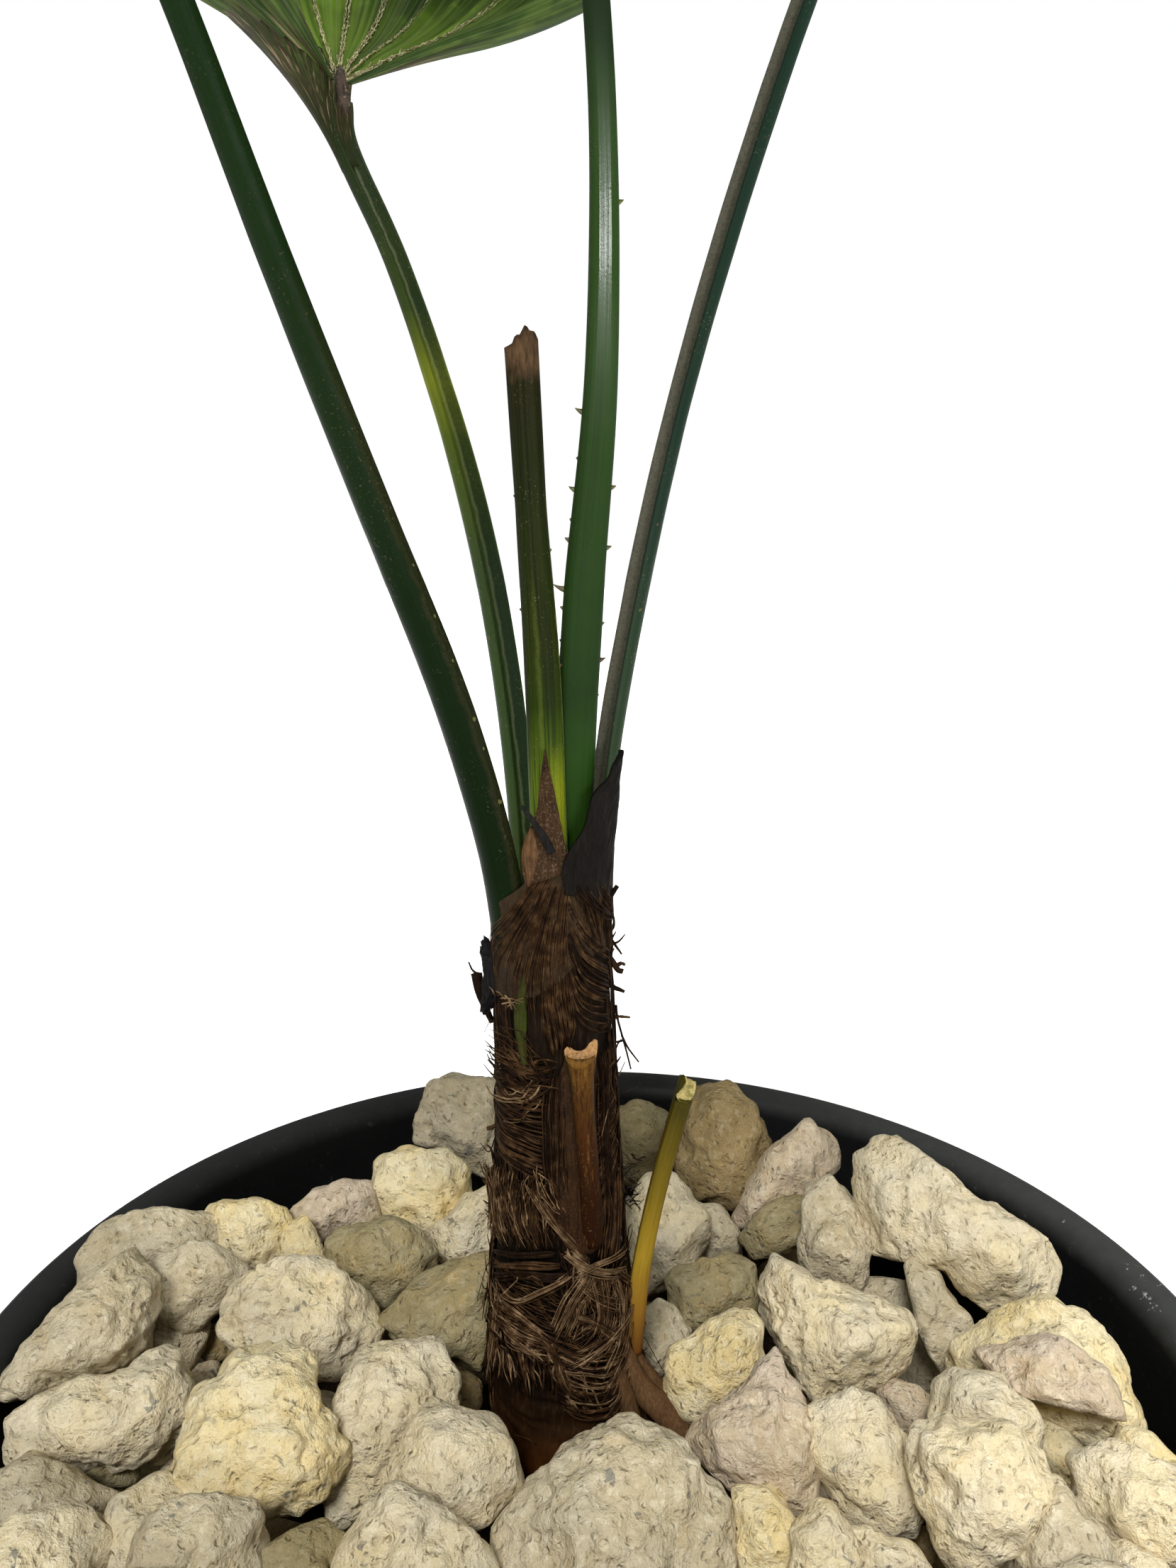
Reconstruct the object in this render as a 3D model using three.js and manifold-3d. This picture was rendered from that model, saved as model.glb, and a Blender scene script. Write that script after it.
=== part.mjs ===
// Potted mapu licuala palm: a small fan palm in a round nursery pot.
// Millimetres, +Z up. The origin is the centre of the pot's flat underside,
// +X is to the right and +Y away from the viewer.
import * as THREE from 'three';
import { mergeVertices } from 'three/addons/utils/BufferGeometryUtils.js';
import Module from 'manifold-3d';

const wasm = await Module();
wasm.setup();

// ---------------------------------------------------------------- sizes
const GAP = 0.3;                 // clearance between neighbouring pieces

const POT_H = 150;               // height of the rim's top edge
const POT_R = 90;                // outer radius at the rim
const POT_FOOT_R = 63;           // outer radius at the underside
const POT_WALL = 4;
const POT_FLOOR = 4.5;
const RIM_DEPTH = 9;             // height of the thickened rim
const RIM_WALL = 7.2;            // the lip's width, rounded down inwards
const POT_SEGS = 48;
const DRAIN_R = 6;
const DRAIN_RING = 36;
const DRAIN_COUNT = 5;

const MIX_TOP = 118;             // ground level: the top of the potting mix
const STONES_TOP = 147;          // mean height of the pumice on top of it
const STONES_BUMP = 6;           // how far single stones rise and fall

const TRUNK_X = -5.2;            // the trunk stands a little left of the centre
const TRUNK_LEAN = -0.018;       // sideways, per mm of height above the rim
const TRUNK_TOP = 219;           // fork
const TRUNK_R_FORK = 7.4;
const TRUNK_TAPER = 0.0255;      // radius gained per mm downwards
const FLARE = 1.5;               // extra radius at rim level, growing to the foot
const FLARE_FALL = 19;
const TRUNK_SEGS = 20;
const TRUNK_ROWS = 16;

// Each leaf stalk: points that its curve runs through, with the width and the
// depth there, from the sheath to the hastula.
const PETIOLES = {
  petiole_left: { pts: [[-10.1, -1.6, 198], [-12.05, -3.8, 220], [-17.25, -9.2, 243], [-25.35, -15.2, 267], [-33.5, -20.6, 291], [-40.55, -25.3, 313], [-48.5, -29.8, 336], [-56.95, -34.5, 360], [-65.55, -39, 384]], w: [5.6, 5.75, 5.75, 5.0, 4.4, 3.7, 3.6, 3.6, 3.6], d: [5.0, 5.0, 4.8, 4.2, 3.8, 3.4, 3.2, 3.2, 3.1], lean: 212, color: 0x22321d },
  petiole_back_left: { pts: [[-9.9, 3.4, 206], [-10.5, 7, 222], [-12.2, 10.6, 238], [-14.8, 14.5, 254], [-18.5, 18.2, 270], [-23.4, 22.1, 286], [-29.4, 26.1, 302.5], [-36.6, 29.9, 318], [-37.9, 31.4, 324.4]], w: [4, 3.9, 3.85, 4, 3.9, 3.65, 3.4, 3.6, 4.2], d: [3.6, 3.5, 3.5, 3.5, 3.4, 3.2, 3.1, 3.2, 3.6], lean: 131, color: 0x2f4020 },
  petiole_centre: { pts: [[-3.7, 0.6, 204], [-3.4, -1.6, 230.5], [-2.1, -4, 256], [0, -6.6, 282.5], [0, -9.3, 309], [-2, -12.1, 335], [-3.7, -14.7, 361], [-4.8, -17.1, 386], [-5.4, -19.2, 411], [-5.6, -21, 436]], w: [5.3, 5.3, 5.15, 3.95, 3.2, 2.9, 2.9, 2.9, 2.9, 3], d: [3.4, 3.4, 3.2, 2.8, 2.6, 2.5, 2.5, 2.5, 2.5, 2.6], lean: 280, color: 0x3e5332 },
  petiole_right: { pts: [[-0.6, 4.8, 206], [0.7, 9.3, 231], [4.9, 13.7, 256], [10.5, 18.4, 281], [17.6, 23.2, 306], [25.8, 28, 331], [34.8, 32.9, 355], [44.6, 37.6, 379], [55, 42, 402]], w: [3.6, 3.55, 3.65, 3.55, 3.75, 3.75, 3.7, 3.6, 3.6], d: [3.2, 3.2, 3.2, 3.1, 3.2, 3.2, 3.2, 3.2, 3.2], lean: 38, color: 0x50523f },
  cut_petiole_tall: { pts: [[-5.5, -4.7, 208], [-6.5, -4.7, 226], [-7.2, -4.7, 246], [-8.55, -4.7, 267], [-9.7, -4.7, 287.5]], w: [4.7, 4.7, 4.6, 3.85, 4.1], d: [3.6, 3.5, 3.3, 3.1, 3.1], lean: 270, color: 0x42501b },
};

// Each blade: a fan of pleated segments round its hastula. `face` is the
// compass direction of its middle segment, `tilt` how far the fan's plane
// rises that way, `cup` the rise of the segments at the radii in BLADE_CUP_AT
// and at the tips, `span` half the angle that the fan covers, `short` by what
// share the outermost segments are shorter than the middle one.
const BLADE_CUP_AT = [0, 22, 50];
const BLADES = {
  blade_left: { hub: [-65.95, -39.4, 386.2], face: 212, tilt: -6, cup: [36, 20, 2, -14], radius: 116, span: 132, segments: 12, short: 0.13 },
  blade_back_left: { hub: [-38.1, 32, 326.5], face: 128, tilt: 11.7, cup: [27, 21, 36, 6], radius: 94, span: 130, segments: 11, short: 0.3 },
  blade_centre: { hub: [-5.8, -21.1, 438.3], face: 282, tilt: 4, cup: [36, 22, 4, -12], radius: 118, span: 140, segments: 13, short: 0.13 },
  blade_right: { hub: [55.5, 42.3, 404.2], face: 38, tilt: -4, cup: [36, 20, 2, -14], radius: 116, span: 132, segments: 12, short: 0.13 },
};
const BLADE_THICK = 1.6;
const BLADE_HUB_R = 4;           // the joined middle
const BLADE_SLIT_FROM = 13;      // the segments part beyond this radius
const BLADE_SLIT = [0.45, 1.7];  // half the gap between segments, there and at the tips
const BLADE_FOLD = 0.13;         // depth of a segment's fold, of its width
const BLADE_ROWS = [BLADE_HUB_R, BLADE_SLIT_FROM, 34, 58, 82];

const STUBS = {
  cut_stub_front: { pts: [[-1.0, -7.2, 170], [-1.2, -8.7, 180], [-1.9, -9.2, 190], [-2.3, -9.7, 199]], w: [4.2, 3.6, 3.4, 4.4], d: [3.4, 3.2, 3, 3.2], lean: 275, color: 0x7a4a1e },
  cut_stub_right: { pts: [[4.4, -1.6, 149], [5.9, -1.6, 163], [8.4, -1.3, 176], [11.8, -0.8, 189.5]], w: [4.2, 3.5, 3.7, 4], d: [3.6, 3.1, 3, 3], lean: 355, color: 0x77601a },
};

// Sheaths round the fork: strips of a cone round the trunk's axis.
const SHEATHS = {
  sheath_front: { z: [211, 236.5], radius: [8.9, 8.4], from: 205, to: 292, tip: 262, thick: 0.9, point: 1.1, color: 0x4a2c1a },
  sheath_right: { z: [202, 236], radius: [9.0, 10.6], from: 298, to: 376, tip: 347, thick: 1.1, point: 1.5, color: 0x1d1512 },
};

// ---------------------------------------------------------------- helpers
const rad = THREE.MathUtils.degToRad;

function solidOf(geometry) {
  const g = geometry.clone();
  for (const name of ['normal', 'uv']) if (g.getAttribute(name)) g.deleteAttribute(name);
  const m = mergeVertices(g, 1e-4);
  return new wasm.Manifold(new wasm.Mesh({
    numProp: 3,
    vertProperties: new Float32Array(m.getAttribute('position').array),
    triVerts: new Uint32Array(m.getIndex().array),
  }));
}

function largest(manifold) {
  return manifold.decompose().sort((a, b) => b.volume() - a.volume())[0];
}

function geometryOf(manifold) {
  const m = manifold.getMesh();
  const g = new THREE.BufferGeometry();
  g.setAttribute('position', new THREE.BufferAttribute(new Float32Array(m.vertProperties), 3));
  g.setIndex(Array.from(m.triVerts));
  g.computeVertexNormals();
  return g;
}

// A repeatable number from 0 to 1 for each pair of whole numbers.
function speck(i, j) {
  const s = Math.sin(i * 127.1 + j * 311.7) * 43758.5453;
  return s - Math.floor(s);
}

// The value at t of a list of numbers spread evenly from 0 to 1.
function along(list, t) {
  const u = t * (list.length - 1);
  const i = Math.min(Math.floor(u), list.length - 2);
  return THREE.MathUtils.lerp(list[i], list[i + 1], u - i);
}

// A cylinder bent along a curve, its section an ellipse whose wide side lies
// across the direction of lean. `grow` makes it larger all round.
function limb(p, grow = 0, rows = 12, sides = 8) {
  const curve = new THREE.CatmullRomCurve3(p.pts.map((v) => new THREE.Vector3(...v)), false, 'catmullrom', 0.5);
  const across = new THREE.Vector3(-Math.sin(rad(p.lean)), Math.cos(rad(p.lean)), 0);
  const g = new THREE.CylinderGeometry(1, 1, 1, sides, rows);
  const pos = g.getAttribute('position');
  const v = new THREE.Vector3();
  for (let i = 0; i < pos.count; i++) {
    v.fromBufferAttribute(pos, i);
    const t = v.y + 0.5;
    const at = curve.getPoint(t);
    const way = curve.getTangent(t);
    const wide = across.clone().addScaledVector(way, -across.dot(way)).normalize();
    const deep = new THREE.Vector3().crossVectors(way, wide);
    const w = along(p.w, t) / 2 + grow;
    const d = along(p.d, t) / 2 + grow;
    at.addScaledVector(way, t < 0.001 ? -grow : t > 0.999 ? grow : 0);
    at.addScaledVector(wide, -v.x * w).addScaledVector(deep, v.z * d);
    pos.setXYZ(i, at.x, at.y, at.z);
  }
  return solidOf(g);
}

// A closed sheet of even thickness over a surface given as points and
// four- or three-cornered cells that turn anticlockwise seen from above.
function sheet(points, cells, thick) {
  const normals = points.map(() => new THREE.Vector3());
  const tris = [];
  for (const c of cells) {
    tris.push([c[0], c[1], c[2]]);
    if (c.length === 4) tris.push([c[0], c[2], c[3]]);
  }
  const e1 = new THREE.Vector3();
  const e2 = new THREE.Vector3();
  for (const [a, b, c] of tris) {
    e1.subVectors(points[b], points[a]);
    e2.subVectors(points[c], points[a]);
    e1.cross(e2);
    for (const k of [a, b, c]) normals[k].add(e1);
  }
  const verts = [];
  for (const side of [0.5, -0.5]) {
    points.forEach((p, i) => {
      const q = p.clone().addScaledVector(normals[i].normalize(), side * thick);
      verts.push(q.x, q.y, q.z);
    });
  }
  const n = points.length;
  const index = [];
  const edges = new Map();
  for (const [a, b, c] of tris) {
    index.push(a, b, c, n + a, n + c, n + b);
    for (const [p, q] of [[a, b], [b, c], [c, a]]) {
      if (edges.has(`${q},${p}`)) edges.delete(`${q},${p}`);
      else edges.set(`${p},${q}`, [p, q]);
    }
  }
  for (const [p, q] of edges.values()) index.push(q, p, n + p, q, n + p, n + q);
  const g = new THREE.BufferGeometry();
  g.setAttribute('position', new THREE.Float32BufferAttribute(verts, 3));
  g.setIndex(index);
  return solidOf(g);
}

// ---------------------------------------------------------------- pot
// Outer radius of the wall at a height, and the inner one behind it.
const outerR = (z) => THREE.MathUtils.lerp(POT_FOOT_R, POT_R - 2.5, z / POT_H);
const innerR = (z) => outerR(z) - POT_WALL;

function pot() {
  const lipZ = POT_H - RIM_DEPTH;
  const profile = [
    [0, 0], [POT_FOOT_R - 1.5, 0], [POT_FOOT_R, 1.5],
    [outerR(lipZ - 2), lipZ - 2], [POT_R - 0.6, lipZ], [POT_R, POT_H - 1.6], [POT_R - 1.4, POT_H],
    [POT_R - 4, POT_H - 0.2], [POT_R - 6, POT_H - 1.6], [POT_R - RIM_WALL, POT_H - 4.4], [innerR(lipZ - 4) + 0.2, lipZ - 3],
    [innerR(POT_FLOOR), POT_FLOOR], [0, POT_FLOOR],
  ].map(([r, z]) => new THREE.Vector2(r, z));
  const g = new THREE.LatheGeometry(profile, POT_SEGS);
  g.rotateX(Math.PI / 2);
  let s = solidOf(g);
  for (let i = 0; i < DRAIN_COUNT; i++) {
    const a = (i + 0.5) / DRAIN_COUNT * 2 * Math.PI;
    const hole = new THREE.CylinderGeometry(DRAIN_R, DRAIN_R, 4 * POT_FLOOR, 16);
    hole.rotateX(Math.PI / 2);
    hole.translate(DRAIN_RING * Math.cos(a), DRAIN_RING * Math.sin(a), 0);
    s = s.subtract(solidOf(hole));
  }
  return s;
}

function pottingMix() {
  const low = POT_FLOOR + GAP;
  const profile = [
    [0, low], [innerR(low) - 2 * GAP, low], [innerR(MIX_TOP) - 2 * GAP, MIX_TOP], [0, MIX_TOP],
  ].map(([r, z]) => new THREE.Vector2(r, z));
  const g = new THREE.LatheGeometry(profile, POT_SEGS);
  g.rotateX(Math.PI / 2);
  return solidOf(g);
}

// The layer of pumice: flat below, uneven above.
function stones() {
  const low = MIX_TOP + GAP;
  const rings = 8;
  const edge = innerR(STONES_TOP - 12) - 2 * GAP;
  const profile = [[0, low], [innerR(low) - 2 * GAP, low]];
  for (let i = 0; i <= rings; i++) profile.push([edge * (1 - i / rings), STONES_TOP - (i === 0 ? 5 : 0)]);
  const g = new THREE.LatheGeometry(profile.map(([r, z]) => new THREE.Vector2(r, z)), POT_SEGS);
  g.rotateX(Math.PI / 2);
  const pos = g.getAttribute('position');
  for (let i = 0; i < pos.count; i++) {
    if (pos.getZ(i) < low + 5) continue;
    const x = pos.getX(i);
    const y = pos.getY(i);
    const r = Math.hypot(x, y);
    if (r < 1 || r > edge - 1) continue;
    const a = Math.round(Math.atan2(y, x) / (2 * Math.PI) * POT_SEGS + POT_SEGS) % POT_SEGS;
    pos.setZ(i, pos.getZ(i) + STONES_BUMP * (2 * speck(Math.floor(a / 2), Math.round(r / edge * rings)) - 1));
  }
  return solidOf(g);
}

// ---------------------------------------------------------------- trunk
function trunkRadius(z) {
  const h = z - POT_H;
  const fork = TRUNK_TOP - 4 - POT_H;
  const stem = TRUNK_R_FORK + TRUNK_TAPER * (fork - Math.min(h, fork));
  const flare = FLARE * Math.exp(-h / FLARE_FALL);
  return stem + flare * 6.4 / (6.4 + Math.max(flare - 2, 0)) + (h > fork ? -0.28 * (h - fork) : 0);
}

function trunk(grow = 0) {
  const low = MIX_TOP + GAP;
  const g = new THREE.CylinderGeometry(1, 1, 1, TRUNK_SEGS, TRUNK_ROWS);
  const pos = g.getAttribute('position');
  for (let i = 0; i < pos.count; i++) {
    const t = pos.getY(i) + 0.5;
    const z = THREE.MathUtils.lerp(low, TRUNK_TOP, t);
    const h = z - POT_H;
    const a = Math.atan2(-pos.getZ(i), pos.getX(i));
    const r = Math.hypot(pos.getX(i), pos.getZ(i));
    const skirt = Math.max(0, -h) / 32;
    const swell = 1 + 0.16 * skirt * Math.cos(a) + 0.05 * skirt * Math.sin(3 * a);
    const wave = 0.25 * Math.sin(3 * a + z * 0.11) + 0.2 * Math.sin(5 * a - z * 0.07);
    const size = r * (trunkRadius(z) * swell + wave + grow);
    const cx = TRUNK_X + TRUNK_LEAN * h + 2.4 * skirt;
    const end = t < 0.001 ? -grow : t > 0.999 ? grow : 0;
    pos.setXYZ(i, cx + size * Math.cos(a), size * Math.sin(a), z + end);
  }
  return solidOf(g);
}

// A pointed strip of sheath that wraps part of the fork.
function sheath(s) {
  const rows = 7;
  const cols = 8;
  const points = [];
  const cells = [];
  for (let j = 0; j <= rows; j++) {
    const t = j / rows;
    const z = THREE.MathUtils.lerp(s.z[0], s.z[1], t);
    const keep = Math.max(0.045, 1 - Math.pow(t, s.point));
    const a0 = THREE.MathUtils.lerp(s.tip, s.from, keep);
    const a1 = THREE.MathUtils.lerp(s.tip, s.to, keep);
    const r = THREE.MathUtils.lerp(s.radius[0], s.radius[1], t);
    const cx = TRUNK_X + TRUNK_LEAN * (z - POT_H);
    for (let i = 0; i <= cols; i++) {
      const a = rad(THREE.MathUtils.lerp(a0, a1, i / cols));
      points.push(new THREE.Vector3(cx + r * Math.cos(a), r * Math.sin(a), z));
    }
  }
  for (let j = 0; j < rows; j++) {
    for (let i = 0; i < cols; i++) {
      const k = j * (cols + 1) + i;
      cells.push([k, k + 1, k + cols + 2, k + cols + 1]);
    }
  }
  return sheet(points, cells, s.thick);
}

// The dead, shrunken sheath that clings to the left of the trunk.
function remnant() {
  const g = new THREE.SphereGeometry(1, 10, 8);
  g.scale(1.9, 2.4, 5.6);
  g.rotateY(rad(-8));
  g.translate(-15.4, -3.0, 203.5);
  return solidOf(g);
}

// ---------------------------------------------------------------- blades
// How steeply a segment rises at a distance from the hastula.
function rise(b, s) {
  const at = [...BLADE_CUP_AT, b.radius];
  const i = s < at[1] ? 0 : s < at[2] ? 1 : 2;
  return THREE.MathUtils.lerp(b.cup[i], b.cup[i + 1], (s - at[i]) / (at[i + 1] - at[i]));
}

// One fan: three columns of points for each segment, joined inside the slits.
function blade(b) {
  const face = rad(b.face);
  const tilt = rad(b.tilt);
  const A = new THREE.Vector3(Math.cos(face) * Math.cos(tilt), Math.sin(face) * Math.cos(tilt), Math.sin(tilt));
  const B = new THREE.Vector3(-Math.sin(face), Math.cos(face), 0);
  const N = new THREE.Vector3().crossVectors(A, B);
  const hub = new THREE.Vector3(...b.hub);
  const steps = 24;
  const place = (angle, s, fold) => {
    let out = 0;
    let up = 0;
    for (let k = 0; k < steps; k++) {
      const c = rad(rise(b, (k + 0.5) / steps * s));
      out += Math.cos(c) * s / steps;
      up += Math.sin(c) * s / steps;
    }
    return hub.clone()
      .addScaledVector(A, out * Math.cos(angle))
      .addScaledVector(B, out * Math.sin(angle))
      .addScaledVector(N, up - fold);
  };
  const half = rad(b.span) / b.segments;
  const rows = BLADE_ROWS.length + 1;
  const points = [hub.clone()];
  const cells = [];
  for (let i = 0; i < b.segments; i++) {
    const mid = -rad(b.span) + (2 * i + 1) * half;
    const side = mid / rad(b.span);
    const reach = b.radius * (1 - b.short * side * side) * (0.97 + 0.05 * speck(i, b.segments));
    for (const j of [-1, 0, 1]) {
      for (let k = 0; k < rows; k++) {
        const tip = k === rows - 1;
        const s = tip ? reach - (j === 0 ? 0 : 3) : BLADE_ROWS[k] * (k > 1 ? reach / b.radius : 1);
        const slit = k < 1 ? 0 : THREE.MathUtils.lerp(BLADE_SLIT[0], BLADE_SLIT[1], (s - BLADE_SLIT_FROM) / (b.radius - BLADE_SLIT_FROM));
        const wide = half - slit / s;
        const fold = j === 0 ? BLADE_FOLD * 2 * half * s * (tip ? 0.6 : 1) : 0;
        points.push(place(mid + j * wide, s, fold));
      }
    }
  }
  const at = (col, row) => 1 + col * rows + row;
  const cols = 3 * b.segments;
  for (let c = 0; c < cols; c++) {
    const next = (c + 1) % cols;
    cells.push([0, at(c, 0), at(next, 0)]);
    if (next === 0) continue;
    const last = c % 3 === 2 ? 1 : rows - 1;
    for (let k = 0; k < last; k++) cells.push([at(c, k), at(c, k + 1), at(next, k + 1), at(next, k)]);
  }
  return sheet(points, cells, BLADE_THICK);
}

// ---------------------------------------------------------------- assembly
const part = new THREE.Group();

function add(name, manifold, color, roughness) {
  const mesh = new THREE.Mesh(geometryOf(manifold), new THREE.MeshStandardMaterial({ color, roughness, metalness: 0 }));
  mesh.name = name;
  part.add(mesh);
}

const limbs = { ...PETIOLES, ...STUBS };
let sockets = null;
for (const [name, p] of Object.entries(limbs)) {
  add(name, limb(p), p.color, 0.45);
  const room = limb(p, GAP);
  sockets = sockets ? sockets.add(room) : room;
}

add('trunk', largest(trunk().subtract(sockets)), 0x3c2c1c, 0.95);
const trunkRoom = trunk(GAP).add(sockets);

for (const [name, s] of Object.entries(SHEATHS)) add(name, largest(sheath(s).subtract(trunkRoom)), s.color, 0.9);
add('sheath_remnant_left', largest(remnant().subtract(trunkRoom)), 0x0e0d0c, 0.9);

for (const [name, b] of Object.entries(BLADES)) add(name, blade(b), 0x5e7239, 0.5);

add('pot', pot(), 0x1c1d1e, 0.55);
add('potting_mix', pottingMix(), 0x2a2017, 1);
add('pumice_topdressing', largest(stones().subtract(trunkRoom)), 0xd6c7a6, 0.95);

export default part;
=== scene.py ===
"""Looks of the potted mapu licuala palm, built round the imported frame.

Lengths are in millimetres up to mesh_object(), which writes metres."""
import bpy
import math
import numpy as np
from mathutils import Matrix, Vector


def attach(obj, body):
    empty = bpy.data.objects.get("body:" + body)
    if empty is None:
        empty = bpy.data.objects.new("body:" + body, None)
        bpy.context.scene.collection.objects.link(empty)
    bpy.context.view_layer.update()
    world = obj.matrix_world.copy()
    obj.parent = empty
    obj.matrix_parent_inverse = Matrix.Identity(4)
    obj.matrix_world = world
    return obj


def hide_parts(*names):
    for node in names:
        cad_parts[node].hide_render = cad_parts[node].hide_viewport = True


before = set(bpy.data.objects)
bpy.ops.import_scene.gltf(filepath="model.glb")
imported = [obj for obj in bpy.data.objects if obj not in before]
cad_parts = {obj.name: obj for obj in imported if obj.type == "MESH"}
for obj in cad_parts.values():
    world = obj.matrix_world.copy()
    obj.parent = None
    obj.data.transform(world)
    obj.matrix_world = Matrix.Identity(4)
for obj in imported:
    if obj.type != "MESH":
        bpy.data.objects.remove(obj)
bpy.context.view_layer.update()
MM = 0.001


# ------------------------------------------------------------------ colours
def lin(r, g, b):
    """sRGB 0..255 to the linear colour that the shader takes."""
    out = []
    for v in (r, g, b):
        v /= 255.0
        out.append(v / 12.92 if v <= 0.04045 else ((v + 0.055) / 1.055) ** 2.4)
    return (out[0], out[1], out[2], 1.0)


# ------------------------------------------------------------------ noise
_GRAD = np.random.RandomState(11).normal(size=(4096, 3))
_GRAD /= np.linalg.norm(_GRAD, axis=1)[:, None]
_RND = np.random.RandomState(12).rand(4096, 4)


def _hash(ix, iy, iz, seed):
    h = (ix * 73856093) ^ (iy * 19349663) ^ (iz * 83492791) ^ (seed * 15485863)
    h = (h ^ (h >> 13)) * 1274126177
    return (h ^ (h >> 16)) & 4095


def noise(p, seed=0):
    """Gradient noise, about -1 to 1, at an array of points."""
    p = np.asarray(p, float)
    i = np.floor(p).astype(np.int64)
    f = p - i
    w = f * f * f * (f * (f * 6 - 15) + 10)
    out = np.zeros(len(p))
    for dx in (0, 1):
        for dy in (0, 1):
            for dz in (0, 1):
                g = _GRAD[_hash(i[:, 0] + dx, i[:, 1] + dy, i[:, 2] + dz, seed)]
                k = ((w[:, 0] if dx else 1 - w[:, 0]) * (w[:, 1] if dy else 1 - w[:, 1])
                     * (w[:, 2] if dz else 1 - w[:, 2]))
                out += k * ((f - (dx, dy, dz)) * g).sum(1)
    return out * 1.6


def fbm(p, octaves=3, seed=0, gain=0.5):
    out = np.zeros(len(p))
    amp = 1.0
    q = np.asarray(p, float)
    for k in range(octaves):
        out += amp * noise(q, seed + 31 * k)
        q = q * 2.03 + 7.7
        amp *= gain
    return out


def pits(p, cell, seed, share=0.5, size=(0.16, 0.38)):
    """Depth 0 to 1 of round pits scattered through space, one cell at a time."""
    q = np.asarray(p, float) / cell
    i = np.floor(q).astype(np.int64)
    best = np.zeros(len(q))
    for dx in (-1, 0, 1):
        for dy in (-1, 0, 1):
            for dz in (-1, 0, 1):
                c = i + (dx, dy, dz)
                h = _hash(c[:, 0], c[:, 1], c[:, 2], seed)
                r = _RND[h]
                at = c + 0.15 + 0.7 * r[:, :3]
                there = r[:, 3] < share
                rad = size[0] + (size[1] - size[0]) * (r[:, 3] / share)
                d = np.sqrt(((q - at) ** 2).sum(1))
                v = np.where(there, np.clip(1 - (d / rad) ** 2, 0, 1) * rad / size[1], 0)
                best = np.maximum(best, v)
    return best


# ------------------------------------------------------------------ meshes
def mesh_object(name, verts, quads=None, tris=None, mats=(), mat_index=None, uv=None, smooth=True, body="root"):
    """A mesh from arrays in mm. mat_index has a number for each quad, then for each tri; uv one pair for each corner."""
    verts = np.asarray(verts, np.float32)
    parts = []
    sizes = []
    for cells, k in ((quads, 4), (tris, 3)):
        if cells is not None and len(cells):
            cells = np.asarray(cells, np.int32).reshape(-1, k)
            parts.append(cells.ravel())
            sizes.append(np.full(len(cells), k, np.int32))
    loops = np.concatenate(parts)
    sizes = np.concatenate(sizes)
    me = bpy.data.meshes.new(name)
    me.vertices.add(len(verts))
    me.vertices.foreach_set("co", (verts * MM).ravel())
    me.loops.add(len(loops))
    me.loops.foreach_set("vertex_index", loops)
    me.polygons.add(len(sizes))
    me.polygons.foreach_set("loop_start", np.concatenate([[0], np.cumsum(sizes)[:-1]]).astype(np.int32))
    if mat_index is not None:
        me.polygons.foreach_set("material_index", np.asarray(mat_index, np.int32))
    me.polygons.foreach_set("use_smooth", np.full(len(sizes), smooth))
    for m in mats:
        me.materials.append(m)
    if uv is not None:
        layer = me.uv_layers.new(name="UVMap")
        layer.data.foreach_set("uv", np.asarray(uv, np.float32).ravel())
    me.update(calc_edges=True)
    o = bpy.data.objects.new(name, me)
    bpy.context.scene.collection.objects.link(o)
    if body:
        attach(o, body)
    return o


class Bag:
    """Collects many small meshes that become one piece."""

    def __init__(self):
        self.v, self.q, self.t, self.qm, self.tm, self.n = [], [], [], [], [], 0

    def add(self, verts, quads=None, tris=None, mat=0):
        verts = np.asarray(verts, float)
        if quads is not None and len(quads):
            self.q.append(np.asarray(quads) + self.n)
            self.qm.append(np.full(len(quads), mat))
        if tris is not None and len(tris):
            self.t.append(np.asarray(tris) + self.n)
            self.tm.append(np.full(len(tris), mat))
        self.v.append(verts)
        self.n += len(verts)

    def count(self):
        return 2 * sum(len(q) for q in self.q) + sum(len(t) for t in self.t)

    def build(self, name, mats, **kw):
        q = np.concatenate(self.q) if self.q else None
        t = np.concatenate(self.t) if self.t else None
        mi = np.concatenate((self.qm if self.q else []) + (self.tm if self.t else []))
        return mesh_object(name, np.concatenate(self.v), q, t, mats, mi, **kw)


def lathe(profile, segments):
    """Turns a profile of (radius, height) round Z. Both ends lie on the axis or the profile closes on itself."""
    profile = np.asarray(profile, float)
    closed = np.allclose(profile[0], profile[-1])
    pts = profile[:-1] if closed else profile
    a = np.arange(segments) / segments * 2 * np.pi
    verts, rings = [], []
    for r, z in pts:
        if r < 1e-6:
            rings.append(np.array([len(verts)]))
            verts.append((0.0, 0.0, z))
        else:
            rings.append(len(verts) + np.arange(segments))
            verts.extend(zip(r * np.cos(a), r * np.sin(a), np.full(segments, z)))
    quads, tris = [], []
    pairs = list(zip(rings[:-1], rings[1:])) + ([(rings[-1], rings[0])] if closed else [])
    for lo, hi in pairs:
        if len(lo) == 1:
            tris += [(lo[0], hi[(i + 1) % segments], hi[i]) for i in range(segments)]
        elif len(hi) == 1:
            tris += [(lo[i], lo[(i + 1) % segments], hi[0]) for i in range(segments)]
        else:
            quads += [(lo[i], lo[(i + 1) % segments], hi[(i + 1) % segments], hi[i]) for i in range(segments)]
    return np.array(verts), np.array(quads).reshape(-1, 4), np.array(tris).reshape(-1, 3)


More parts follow.
